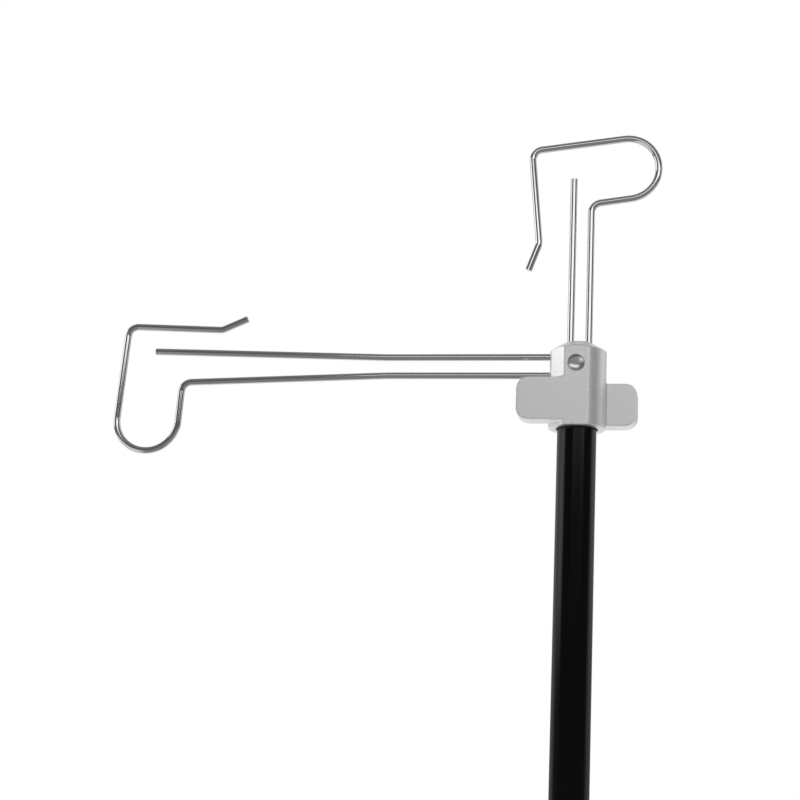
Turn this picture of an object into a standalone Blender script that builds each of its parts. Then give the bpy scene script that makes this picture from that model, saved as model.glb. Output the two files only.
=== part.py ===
"""Spool holder stand: a weighted round base, a telescopic pole, a swivelling
cast head with two finger wings, and two bent-wire arms that carry the spools.

Metres, +Z up. The origin is on the pole's axis, at the underside of the base.
The front of the head, with its round blind hole, faces -Y; the side arm
points to -X and the top arm to +Z.
"""

import math

import bmesh
import bpy
from mathutils import Matrix, Vector

# ---------------------------------------------------------------- clearances
GAP = 0.0003            # air left between two pieces that touch
SLOT_PLAY = 0.00025     # air on each side of an arm's wire in its slot
SLOT_END = 0.48         # share of a slot's width that its rounded ends take
TOP_SKIM = 0.0001       # what the turned form takes off the head's flat top
CUT = 0.002             # how far a cutter runs past the face it opens

# ---------------------------------------------------------------------- base
BASE_DIAMETER = 0.240
BASE_THICKNESS = 0.012
BASE_EDGE_ROUND = 0.0035
BASE_LOWER_EDGE = 0.0009
PAD_THICKNESS = 0.002
PAD_INSET = 0.003

# ------------------------------------------------------- flange of the pole
FLANGE_DIAMETER = 0.074
FLANGE_THICKNESS = 0.006
FLANGE_BOSS_HEIGHT = 0.034
FLANGE_BOSS_WALL = 0.005
FLANGE_FILLET = 0.003
FLANGE_EDGE = 0.0012
FLANGE_SET_SCREW_LEVEL = 0.024  # above the flange's foot
FLANGE_SCREW_CIRCLE = 0.058
FLANGE_SCREW_COUNT = 3
FLANGE_SCREW_THREAD = 0.005
FLANGE_SCREW_HEAD = 0.0085
FLANGE_SCREW_KEY = 0.004        # across the flats of the hexagon socket
FLANGE_SCREW_EDGE = 0.0005
FLANGE_SCREW_GRIP = 0.007       # thread below the flange, in the base plate

# ---------------------------------------------------------------------- pole
LOWER_TUBE_DIAMETER = 0.028
LOWER_TUBE_WALL = 0.0015
LOWER_TUBE_LENGTH = 0.300
UPPER_TUBE_DIAMETER = 0.022
UPPER_TUBE_WALL = 0.0012
UPPER_TUBE_LENGTH = 0.430
TUBE_EDGE = 0.0003
GUIDE_BUSH_LENGTH = 0.024
GUIDE_BUSH_RIM = 0.0015
SLIDER_LENGTH = 0.012
SLIDER_SPIGOT_LENGTH = 0.012
SLIDER_BORE = 0.014

# ----------------------------------------------------------- height collar
COLLAR_DIAMETER = 0.040
COLLAR_OVER_TUBE = 0.022        # reach of the collar down the lower tube
COLLAR_ABOVE_BUSH = 0.018       # height of the part round the upper tube
COLLAR_EDGE = 0.0012
BOSS_DIAMETER = 0.018
BOSS_REACH = 0.030              # pole axis to the boss's end face
STUD_THREAD = 0.008
SHOE_THICKNESS = 0.003
KNOB_DIAMETER = 0.036
KNOB_THICKNESS = 0.015
KNOB_HUB_DIAMETER = 0.018
KNOB_HUB_LENGTH = 0.005
KNOB_STAND_OFF = 0.0025         # knob to boss when the screw is tight
KNOB_LOBES = 6
KNOB_SCALLOP = 0.0045
KNOB_RIM_ROUND = 0.0015
STUD_IN_KNOB = 0.012

# ---------------------------------------------------------------------- head
HEAD_UNDERSIDE = 0.560          # height of the head's underside at rest
HEAD_DIAMETER = 0.0320
HEAD_HEIGHT = 0.0500
FRONT_FLAT = 0.0144             # pole axis to the flat front
SIDE_FLAT = 0.0150              # pole axis to the flat between front and left
HEAD_EDGE_ROUND = 0.0008
HEAD_TOP_RADIUS = 0.0072
HEAD_TOP_SLOPE = math.radians(30.0)
WING_SPAN = 0.0666              # tip to tip
WING_THICKNESS = 0.0120
WING_BOTTOM = 0.0028
WING_HEIGHT = 0.0246
WING_CORNER_ROUND = 0.0066
WING_EDGE_ROUND = 0.0013
WING_ROOT = 0.0041              # pole axis to the wing's end inside the body
FRONT_HOLE_DIAMETER = 0.0094
FRONT_HOLE_DEPTH = 0.0050       # to the start of the drill point
FRONT_HOLE_LEVEL = 0.0355
DRILL_POINT = math.radians(118.0)
TUBE_IN_HEAD = 0.0260
SWIVEL_BUSH_WALL = 0.0006
SWIVEL_BUSH_LENGTH = 0.0168
SWIVEL_BUSH_EDGE = 0.0002
SWIVEL_BUSH_LIP = 0.0004        # stands out below the head
THRUST_WASHER_THICKNESS = 0.0009
THRUST_WASHER_BORE = 0.0190

# ------------------------------------------------------------- set screws
SET_SCREW_THREAD = 0.004
SET_SCREW_KEY = 0.0020          # across the flats of the hexagon socket
SET_SCREW_KEY_DEPTH = 0.0022
SET_SCREW_TIP = 0.0024
SET_SCREW_EDGE = 0.0003
SET_SCREW_TIP_LENGTH = 0.0012
SET_SCREW_SUNK = 0.0006         # outer end below the surface round it
TOP_SCREW_LEVEL = 0.0400        # above the head's underside
SIDE_SCREW_OUT = 0.0105         # pole axis to the side arm's screw
GROOVE_LEVEL = 0.0210           # above the head's underside
GROOVE_WIDTH = 0.0042
GROOVE_DEPTH = 0.0005

# ---------------------------------------------------------------- wire arms
WIRE_DIAMETER = 0.0040
SIDE_ARM_PLANE = -0.0003        # y of the side arm's wire
TOP_ARM_PLANE = 0.0047          # y of the top arm's wire
SIDE_ARM_LEVEL = 0.0365         # mid height of its legs above the underside
TOP_ARM_CENTRE = 0.0002         # x midway between its legs
SIDE_ARM_IN_HEAD = 0.0200       # side of the head to the hairpin's end
TOP_ARM_REST = 0.1010           # hairpin's end below the head's underside
HOOK_BEND = 0.0060
TIP_BEND = 0.0080
SPRING_BEND = 0.250
FULL_BEND = 0.98                # radius of a hairpin, as a share of the half round


class ArmForm:
    """Centre line of one bent wire, from its straight tip round to its hook.

    Lengths run along the arm from the hairpin's end; heights are measured
    across it, towards the straight leg. The hook's places are given from the
    corner where the hook leg turns into the trough.
    """

    def __init__(self, straight, spacing, bend_at, rise, hook_at, drop,
                 trough_depth, trough_near, trough_far, outer, bar, tip):
        self.straight = straight            # length of the straight leg
        self.spacing = spacing              # between the two legs
        self.bend_at = bend_at              # where the legs start to spread
        self.rise = rise                    # spread of the straight leg's tip
        self.hook_at = hook_at              # length of the hook leg
        self.drop = drop                    # spread of the hook leg's end
        self.trough_depth = trough_depth
        self.trough_near = trough_near
        self.trough_far = trough_far
        self.outer = outer                  # corner of outer leg and bar
        self.bar = bar                      # end of the bar
        self.tip = tip                      # end of the flared tip


SIDE_ARM = ArmForm(
    straight=0.2534, spacing=0.0108, bend_at=0.114, rise=0.0038,
    hook_at=0.2361, drop=0.0041, trough_depth=0.0409,
    trough_near=0.0018, trough_far=0.0396,
    outer=(0.0352, 0.0341), bar=(-0.0223, 0.0318), tip=(-0.0373, 0.0384))
TOP_ARM = ArmForm(
    straight=0.2515, spacing=0.0104, bend_at=0.114, rise=0.0,
    hook_at=0.2361, drop=0.0, trough_depth=0.0385,
    trough_near=0.0050, trough_far=0.0420,
    outer=(0.0335, 0.0354), bar=(-0.0237, 0.0299), tip=(-0.0397, 0.0357))

# --------------------------------------------------------------- resolution
ROUND_STEPS = 48
MEDIUM_STEPS = 32
SMALL_STEPS = 20
LOBE_STEPS = 12                 # corners of the knob's outline in each lobe
EDGE_STEPS = 4                  # parts of the quarter circle of a turned edge
FILLET_STEPS = 3
KEY_SIDES = 6
ARC_STEP = math.radians(13.0)

# ------------------------------------------------- sizes that follow from them
PLATE_BOTTOM = PAD_THICKNESS + GAP
PLATE_TOP = PLATE_BOTTOM + BASE_THICKNESS
POLE_FOOT = PLATE_TOP + GAP
LOWER_TUBE_TOP = POLE_FOOT + LOWER_TUBE_LENGTH
LOWER_TUBE_BORE = LOWER_TUBE_DIAMETER - 2 * LOWER_TUBE_WALL
UPPER_TUBE_BORE = UPPER_TUBE_DIAMETER - 2 * UPPER_TUBE_WALL
RUNNING_BORE = UPPER_TUBE_DIAMETER + 2 * GAP
BUSH_RIM_TOP = LOWER_TUBE_TOP + GAP + GUIDE_BUSH_RIM
COLLAR_SHOULDER = BUSH_RIM_TOP + GAP
COLLAR_TOP = COLLAR_SHOULDER + COLLAR_ABOVE_BUSH
COLLAR_BOTTOM = LOWER_TUBE_TOP - COLLAR_OVER_TUBE
CLAMP_LEVEL = COLLAR_SHOULDER + COLLAR_ABOVE_BUSH / 2
HEAD_RADIUS = HEAD_DIAMETER / 2
SOCKET_BORE = RUNNING_BORE + 2 * SWIVEL_BUSH_WALL + 2 * GAP
SOCKET_CEILING = TUBE_IN_HEAD + THRUST_WASHER_THICKNESS + 2 * GAP
SLOT_WIDTH = WIRE_DIAMETER + 2 * SLOT_PLAY
SIDE_LEG_LEVEL = SIDE_ARM_LEVEL + SIDE_ARM.spacing / 2
WIRE_RADIUS = WIRE_DIAMETER / 2


# ------------------------------------------------------------------- helpers
def clear_scene():
    for old in list(bpy.data.objects):
        bpy.data.objects.remove(old, do_unlink=True)


def new_collection(name):
    collection = bpy.data.collections.new(name)
    bpy.context.scene.collection.children.link(collection)
    return collection


clear_scene()
PARTS = new_collection("spool_holder_stand")
CUTTERS = new_collection("cutters")


def finish(name, colour, metallic, roughness):
    """One Principled material."""
    material = bpy.data.materials.new(name)
    material.use_nodes = True
    shader = material.node_tree.nodes["Principled BSDF"]
    shader.inputs["Base Color"].default_value = (*colour, 1.0)
    shader.inputs["Metallic"].default_value = metallic
    shader.inputs["Roughness"].default_value = roughness
    return material


def empty_at(name, place, parent=None):
    """An axis that moving pieces hang from; place is in the parent's frame."""
    axis = bpy.data.objects.new(name, None)
    axis.empty_display_size = 0.02
    axis.location = place
    axis.parent = parent
    PARTS.objects.link(axis)
    return axis


def add_part(name, data, material, parent=None, place=(0, 0, 0)):
    """Puts one named piece in the object's collection."""
    part = bpy.data.objects.new(name, data)
    part.location = place
    part.parent = parent
    part.data.materials.append(material)
    PARTS.objects.link(part)
    return part


def add_cutter(name, mesh, parent=None, place=(0, 0, 0)):
    cutter = bpy.data.objects.new(name, mesh)
    cutter.location = place
    cutter.parent = parent
    cutter.hide_render = True
    cutter.display_type = "WIRE"
    CUTTERS.objects.link(cutter)
    return cutter


def boolean(part, cutter, operation):
    step = part.modifiers.new(f"{operation.lower()}_{cutter.name}", "BOOLEAN")
    step.operation = operation
    step.solver = "EXACT"
    step.object = cutter


def mesh_from(name, bm):
    bmesh.ops.recalc_face_normals(bm, faces=bm.faces)
    mesh = bpy.data.meshes.new(name)
    bm.to_mesh(mesh)
    bm.free()
    return mesh


def smooth(part, degrees=35.0):
    part.data.shade_smooth()
    part.data.set_sharp_from_angle(angle=math.radians(degrees))


def profile_mesh(name, points):
    """A profile in the XZ plane for a Screw: points are (radius, height)."""
    bm = bmesh.new()
    rows = [bm.verts.new((radius, 0.0, height)) for radius, height in points]
    for first, second in zip(rows, rows[1:]):
        bm.edges.new((first, second))
    if points[0][0] > 0.0:
        bm.edges.new((rows[-1], rows[0]))
    mesh = bpy.data.meshes.new(name)
    bm.to_mesh(mesh)
    bm.free()
    return mesh


def spin(thing, steps):
    turn = thing.modifiers.new("turned", "SCREW")
    turn.axis = "Z"
    turn.steps = steps
    turn.render_steps = steps
    turn.use_merge_vertices = True
    turn.merge_threshold = 0.00001
    turn.use_smooth_shade = True


def turned(name, points, material, parent=None, place=(0, 0, 0), steps=ROUND_STEPS):
    """A turned piece; the profile runs down its outer side."""
    part = add_part(name, profile_mesh(name, points), material, parent, place)
    spin(part, steps)
    return part


def ring_profile(outer, inner, low, high, edge=0.0):
    """Profile of a tube or ring, with its outer edges broken by edge."""
    points = [(outer - edge, high), (outer, high - edge), (outer, low + edge),
              (outer - edge, low), (inner, low), (inner, high)]
    return points if edge else [points[1], points[2], points[4], points[5]]


def rounded_corner(before, corner, after, radius):
    """Points of the arc that rounds one corner of a flat path."""
    back = (before - corner).normalized()
    on = (after - corner).normalized()
    turn = math.pi - back.angle(on)
    if radius <= 0.0 or turn < 1e-4:
        return [corner]
    reach = radius * math.tan(turn / 2)
    centre = corner + (back + on).normalized() * (radius / math.cos(turn / 2))
    start = corner + back * reach - centre
    side = 1.0 if (corner - before).cross(after - corner) > 0 else -1.0
    steps = max(2, math.ceil(turn / ARC_STEP))
    points = []
    for step in range(steps + 1):
        angle = side * turn * step / steps
        points.append(centre + Matrix.Rotation(angle, 2) @ start)
    return points


def rounded_path(corners):
    """A flat path through (along, across, radius) corners."""
    places = [Vector(corner[:2]) for corner in corners]
    points = [places[0]]
    for index in range(1, len(corners) - 1):
        radius = corners[index][2]
        points += rounded_corner(*places[index - 1:index + 2], radius)
    points.append(places[-1])
    return points


def rod_mesh(name, diameter, start, end, steps=SMALL_STEPS):
    """A rod between two places, a flat and not a corner towards each axis."""
    run = Vector(end) - Vector(start)
    half_step = Matrix.Rotation(math.pi / steps, 3, "Z")
    bm = bmesh.new()
    bmesh.ops.create_cone(bm, cap_ends=True, segments=steps, radius1=diameter / 2,
                          radius2=diameter / 2, depth=run.length)
    bmesh.ops.rotate(bm, verts=bm.verts, cent=(0, 0, 0),
                     matrix=run.to_track_quat("Z", "Y").to_matrix() @ half_step)
    bmesh.ops.translate(bm, vec=(Vector(start) + Vector(end)) / 2, verts=bm.verts)
    return mesh_from(name, bm)


def edges_along(bm, axis):
    """Edges that run along one axis."""
    picked = []
    for edge in bm.edges:
        run = edge.verts[1].co - edge.verts[0].co
        if abs(run[axis]) > 0.999 * run.length:
            picked.append(edge)
    return picked


def bevel(bm, edges, width, segments):
    bmesh.ops.bevel(bm, geom=edges, offset=width, offset_type="OFFSET",
                    segments=segments, profile=0.5, affect="EDGES",
                    clamp_overlap=True, material=-1)


# ---------------------------------------------------------------------- base
def make_base(finishes):
    radius = BASE_DIAMETER / 2
    pad = radius - PAD_INSET
    turned("base_pad", [(0.0, PAD_THICKNESS), (pad, PAD_THICKNESS), (pad, 0.0), (0.0, 0.0)],
           finishes["rubber"])
    edge = [(radius - BASE_EDGE_ROUND * (1 - math.sin(angle)),
             PLATE_TOP - BASE_EDGE_ROUND * (1 - math.cos(angle)))
            for angle in (math.pi / 2 * step / EDGE_STEPS for step in range(EDGE_STEPS + 1))]
    plate = turned(
        "base_plate",
        [(0.0, PLATE_TOP), *edge, (radius, PLATE_BOTTOM + BASE_LOWER_EDGE),
         (radius - BASE_LOWER_EDGE, PLATE_BOTTOM), (0.0, PLATE_BOTTOM)],
        finishes["powder_coat"])
    for place in flange_screw_places():
        hole = rod_mesh("plate_screw_hole", FLANGE_SCREW_THREAD + 2 * GAP,
                        (0, 0, -FLANGE_SCREW_GRIP - GAP), (0, 0, CUT))
        boolean(plate, add_cutter("plate_screw_hole", hole, None, (*place, PLATE_TOP)),
                "DIFFERENCE")


def flange_screw_places():
    """X and Y of each screw on its circle, the first towards the front."""
    places = []
    for index in range(FLANGE_SCREW_COUNT):
        angle = -math.pi / 2 + 2 * math.pi * index / FLANGE_SCREW_COUNT
        places.append((FLANGE_SCREW_CIRCLE / 2 * math.cos(angle),
                       FLANGE_SCREW_CIRCLE / 2 * math.sin(angle)))
    return places


def make_flange(finishes):
    bore = LOWER_TUBE_DIAMETER / 2 + GAP
    boss = bore + FLANGE_BOSS_WALL
    outer = FLANGE_DIAMETER / 2
    shelf = POLE_FOOT + FLANGE_THICKNESS
    top = POLE_FOOT + FLANGE_BOSS_HEIGHT
    fillet = [(boss + FLANGE_FILLET * (1 - math.sin(angle)),
               shelf + FLANGE_FILLET * (1 - math.cos(angle)))
              for angle in (math.pi / 2 * (1 - step / FILLET_STEPS)
                            for step in range(FILLET_STEPS + 1))]
    flange = turned(
        "pole_flange",
        [(boss - FLANGE_EDGE, top), (boss, top - FLANGE_EDGE), *fillet,
         (outer - FLANGE_EDGE, shelf), (outer, shelf - FLANGE_EDGE), (outer, POLE_FOOT),
         (bore, POLE_FOOT), (bore, top)],
        finishes["powder_coat"])
    for number, place in enumerate(flange_screw_places(), 1):
        hole = rod_mesh("flange_screw_hole", FLANGE_SCREW_THREAD + 2 * GAP,
                        (0, 0, -FLANGE_THICKNESS - CUT), (0, 0, CUT))
        boolean(flange, add_cutter("flange_screw_hole", hole, None, (*place, shelf)),
                "DIFFERENCE")
        make_cap_screw(f"flange_screw_{number}", finishes, (*place, shelf + GAP))
    screw_level = POLE_FOOT + FLANGE_SET_SCREW_LEVEL
    make_set_screw_hole(flange, "flange_set_screw_hole", None,
                        (0, boss, screw_level), (0, -1, 0), boss - bore + CUT)
    tube_face = LOWER_TUBE_DIAMETER / 2 + GAP
    make_set_screw("flange_set_screw", finishes, None, (0, boss - SET_SCREW_SUNK, screw_level),
                   (0, -1, 0), boss - SET_SCREW_SUNK - tube_face, SET_SCREW_KEY_DEPTH)


def make_cap_screw(name, finishes, seat):
    """A socket head cap screw whose head sits on seat, pointing down."""
    head = FLANGE_SCREW_HEAD / 2
    high = FLANGE_SCREW_THREAD
    shank = FLANGE_SCREW_THREAD / 2
    length = FLANGE_THICKNESS + FLANGE_SCREW_GRIP - GAP
    edge = FLANGE_SCREW_EDGE
    screw = turned(
        name,
        [(0.0, high), (head - edge, high), (head, high - edge), (head, 0.0),
         (shank, 0.0), (shank, edge - length), (shank - edge, -length), (0.0, -length)],
        finishes["steel_screw"], None, seat, SMALL_STEPS)
    socket = rod_mesh("cap_socket", FLANGE_SCREW_KEY / math.cos(math.pi / KEY_SIDES),
                      (0, 0, high / 2), (0, 0, high + CUT), KEY_SIDES)
    boolean(screw, add_cutter(f"{name}_socket", socket, None, seat), "DIFFERENCE")


# --------------------------------------------------------------- set screws
def make_set_screw(name, finishes, parent, outer_end, inward, length, key_depth):
    """A headless screw from outer_end, pointing inward, with a hexagon socket."""
    body = SET_SCREW_THREAD / 2
    tip = SET_SCREW_TIP / 2
    edge = SET_SCREW_EDGE
    screw = turned(
        name,
        [(0.0, 0.0), (body - edge, 0.0), (body, -edge),
         (body, SET_SCREW_TIP_LENGTH - length + edge),
         (body - edge, SET_SCREW_TIP_LENGTH - length),
         (tip, SET_SCREW_TIP_LENGTH - length), (tip, -length), (0.0, -length)],
        finishes["steel_screw"], parent, outer_end, SMALL_STEPS)
    facing = (-Vector(inward)).to_track_quat("Z", "Y")
    screw.rotation_euler = facing.to_euler()
    socket = rod_mesh("key_socket", SET_SCREW_KEY / math.cos(math.pi / KEY_SIDES),
                      (0, 0, -key_depth), (0, 0, CUT), KEY_SIDES)
    cutter = add_cutter(f"{name}_socket", socket, parent, outer_end)
    cutter.rotation_euler = screw.rotation_euler
    boolean(screw, cutter, "DIFFERENCE")


def make_set_screw_hole(part, name, parent, surface, inward, depth):
    """The hole of a set screw, from surface inward."""
    start = Vector(surface) - Vector(inward) * CUT
    end = Vector(surface) + Vector(inward) * depth
    hole = rod_mesh(name, SET_SCREW_THREAD + 2 * GAP, start, end)
    boolean(part, add_cutter(name, hole, parent), "DIFFERENCE")


# --------------------------------------------------------------- fixed pole
def make_lower_pole(finishes):
    outer = LOWER_TUBE_DIAMETER / 2
    inner = LOWER_TUBE_BORE / 2
    turned("lower_tube", ring_profile(outer, inner, POLE_FOOT, LOWER_TUBE_TOP, TUBE_EDGE),
           finishes["satin_tube"])
    spigot = inner - GAP
    turned(
        "guide_bush",
        [(outer, BUSH_RIM_TOP), (outer, LOWER_TUBE_TOP + GAP), (spigot, LOWER_TUBE_TOP + GAP),
         (spigot, LOWER_TUBE_TOP - GUIDE_BUSH_LENGTH), (RUNNING_BORE / 2, LOWER_TUBE_TOP
         - GUIDE_BUSH_LENGTH), (RUNNING_BORE / 2, BUSH_RIM_TOP)],
        finishes["nylon"])


def make_collar(finishes):
    outer = COLLAR_DIAMETER / 2
    over_tube = LOWER_TUBE_DIAMETER / 2 + GAP
    round_tube = RUNNING_BORE / 2 + GAP
    collar = turned(
        "height_collar",
        [(outer - COLLAR_EDGE, COLLAR_TOP), (outer, COLLAR_TOP - COLLAR_EDGE),
         (outer, COLLAR_BOTTOM + COLLAR_EDGE), (outer - COLLAR_EDGE, COLLAR_BOTTOM),
         (over_tube, COLLAR_BOTTOM), (over_tube, COLLAR_SHOULDER),
         (round_tube, COLLAR_SHOULDER), (round_tube, COLLAR_TOP)],
        finishes["cast_black"])
    inside = (round_tube + outer) / 2
    boss = rod_mesh("collar_boss", BOSS_DIAMETER, (inside, 0, CLAMP_LEVEL),
                    (BOSS_REACH, 0, CLAMP_LEVEL), MEDIUM_STEPS)
    boolean(collar, add_cutter("collar_boss", boss), "UNION")
    stud_hole = rod_mesh("stud_hole", STUD_THREAD + 2 * GAP, (0, 0, CLAMP_LEVEL),
                         (BOSS_REACH + CUT, 0, CLAMP_LEVEL), MEDIUM_STEPS)
    boolean(collar, add_cutter("stud_hole", stud_hole), "DIFFERENCE")
    screw_level = COLLAR_BOTTOM + COLLAR_OVER_TUBE / 2
    make_set_screw_hole(collar, "collar_set_screw_hole", None,
                        (-outer, 0, screw_level), (1, 0, 0), outer - over_tube + CUT)
    tube_face = LOWER_TUBE_DIAMETER / 2 + GAP
    make_set_screw("collar_set_screw", finishes, None, (-outer + SET_SCREW_SUNK, 0, screw_level),
                   (1, 0, 0), outer - SET_SCREW_SUNK - tube_face, SET_SCREW_KEY_DEPTH)


def make_clamp(finishes):
    shoe_face = UPPER_TUBE_DIAMETER / 2 + GAP
    shoe_back = shoe_face + SHOE_THICKNESS
    shoe = rod_mesh("clamp_shoe", STUD_THREAD, (shoe_face, 0, CLAMP_LEVEL),
                    (shoe_back, 0, CLAMP_LEVEL), MEDIUM_STEPS)
    smooth(add_part("clamp_shoe", shoe, finishes["nylon"]))
    hub_face = BOSS_REACH + KNOB_STAND_OFF
    knob_face = hub_face + KNOB_HUB_LENGTH
    stud_end = knob_face + STUD_IN_KNOB
    knob_axis = empty_at("knob_axis", (0, 0, CLAMP_LEVEL))
    stud = rod_mesh("knob_stud", STUD_THREAD, (shoe_back + GAP, 0, 0), (stud_end, 0, 0),
                    MEDIUM_STEPS)
    smooth(add_part("knob_stud", stud, finishes["steel_screw"], knob_axis))
    knob = add_part("height_knob", knob_mesh(knob_face), finishes["knob_plastic"], knob_axis)
    hub = rod_mesh("knob_hub", KNOB_HUB_DIAMETER, (hub_face, 0, 0),
                   (knob_face + KNOB_THICKNESS / 2, 0, 0), MEDIUM_STEPS)
    boolean(knob, add_cutter("knob_hub", hub, knob_axis), "UNION")
    socket = rod_mesh("knob_socket", STUD_THREAD + 2 * GAP, (hub_face - CUT, 0, 0),
                      (stud_end + GAP, 0, 0), MEDIUM_STEPS)
    boolean(knob, add_cutter("knob_socket", socket, knob_axis), "DIFFERENCE")
    smooth(knob)


def knob_mesh(face):
    """A lobed disc across X, its near face at face, with softened rims."""
    bm = bmesh.new()
    sides = KNOB_LOBES * LOBE_STEPS
    outline = []
    for index in range(sides):
        angle = 2 * math.pi * index / sides
        dip = (1 + math.cos(KNOB_LOBES * angle)) / 2
        radius = KNOB_DIAMETER / 2 - KNOB_SCALLOP * dip * dip
        outline.append(bm.verts.new((face, radius * math.cos(angle), radius * math.sin(angle))))
    near = bm.faces.new(outline)
    grown = bmesh.ops.extrude_face_region(bm, geom=[near])
    far = [item for item in grown["geom"] if isinstance(item, bmesh.types.BMVert)]
    bmesh.ops.translate(bm, vec=(KNOB_THICKNESS, 0, 0), verts=far)
    rims = []
    for edge in bm.edges:
        run = edge.verts[1].co - edge.verts[0].co
        if abs(run.x) < 1e-6:
            rims.append(edge)
    bevel(bm, rims, KNOB_RIM_ROUND, 2)
    return mesh_from("height_knob", bm)


# -------------------------------------------------------------- sliding pole
def make_upper_pole(finishes, slide):
    outer = UPPER_TUBE_DIAMETER / 2
    inner = UPPER_TUBE_BORE / 2
    low = TUBE_IN_HEAD - UPPER_TUBE_LENGTH
    groove_high = GROOVE_LEVEL + GROOVE_WIDTH / 2
    groove_low = GROOVE_LEVEL - GROOVE_WIDTH / 2
    turned(
        "upper_tube",
        [(outer, TUBE_IN_HEAD), (outer, groove_high), (outer - GROOVE_DEPTH, groove_high),
         (outer - GROOVE_DEPTH, groove_low), (outer, groove_low), (outer, low),
         (inner, low), (inner, TUBE_IN_HEAD)],
        finishes["satin_tube"], slide)
    ring = LOWER_TUBE_BORE / 2 - GAP
    spigot = inner - GAP
    seat = low - GAP
    turned(
        "slider_bush",
        [(spigot, low + SLIDER_SPIGOT_LENGTH), (spigot, seat), (ring, seat),
         (ring, seat - SLIDER_LENGTH), (SLIDER_BORE / 2, seat - SLIDER_LENGTH),
         (SLIDER_BORE / 2, low + SLIDER_SPIGOT_LENGTH)],
        finishes["nylon"], slide)


# ---------------------------------------------------------------------- head
def head_mesh():
    """The round body, with one flat in front and one between front and left."""
    bm = bmesh.new()
    bmesh.ops.create_cone(bm, cap_ends=True, segments=ROUND_STEPS, radius1=HEAD_RADIUS,
                          radius2=HEAD_RADIUS, depth=HEAD_HEIGHT)
    bmesh.ops.translate(bm, vec=(0, 0, HEAD_HEIGHT / 2), verts=bm.verts)
    for angle, flat in ((0.0, FRONT_FLAT), (-math.pi / 4, SIDE_FLAT)):
        outward = Vector((math.sin(angle), -math.cos(angle), 0.0))
        cut = bmesh.ops.bisect_plane(bm, geom=bm.verts[:] + bm.edges[:] + bm.faces[:],
                                     plane_co=outward * flat, plane_no=outward,
                                     clear_outer=True)
        rim = [item for item in cut["geom_cut"] if isinstance(item, bmesh.types.BMEdge)]
        bmesh.ops.contextual_create(bm, geom=rim)
    lower = [edge for edge in bm.edges if all(vert.co.z < 1e-6 for vert in edge.verts)]
    bevel(bm, lower, HEAD_EDGE_ROUND, 2)
    return mesh_from("head_casting", bm)


def wing_mesh(name, side):
    """One wing: flush with the flat front on the left, mirrored to the back on the right."""
    length = WING_SPAN / 2 - WING_ROOT
    bm = bmesh.new()
    bmesh.ops.create_cube(bm, size=1.0)
    bmesh.ops.scale(bm, vec=(length, WING_THICKNESS, WING_HEIGHT), verts=bm.verts)
    bmesh.ops.translate(
        bm, verts=bm.verts,
        vec=(side * (WING_ROOT + length / 2), side * (FRONT_FLAT - WING_THICKNESS / 2),
             WING_BOTTOM + WING_HEIGHT / 2))
    tip = side * WING_SPAN / 2
    corners = [edge for edge in edges_along(bm, 1) if abs(edge.verts[0].co.x - tip) < 1e-5]
    bevel(bm, corners, WING_CORNER_ROUND, 6)
    rims = []
    for edge in bm.edges:
        run = edge.verts[1].co - edge.verts[0].co
        at_root = all(abs(vert.co.x - side * WING_ROOT) < 1e-5 for vert in edge.verts)
        if abs(run.y) < 1e-6 and not at_root:
            rims.append(edge)
    bevel(bm, rims, WING_EDGE_ROUND, 3)
    return mesh_from(name, bm)


def slot_cutter(name, size, centre, axis):
    """A slot with round ends, cut along one axis."""
    bm = bmesh.new()
    bmesh.ops.create_cube(bm, size=1.0)
    bmesh.ops.scale(bm, vec=size, verts=bm.verts)
    bmesh.ops.translate(bm, vec=centre, verts=bm.verts)
    bevel(bm, edges_along(bm, axis), SLOT_WIDTH * SLOT_END, 5)
    return mesh_from(name, bm)


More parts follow.
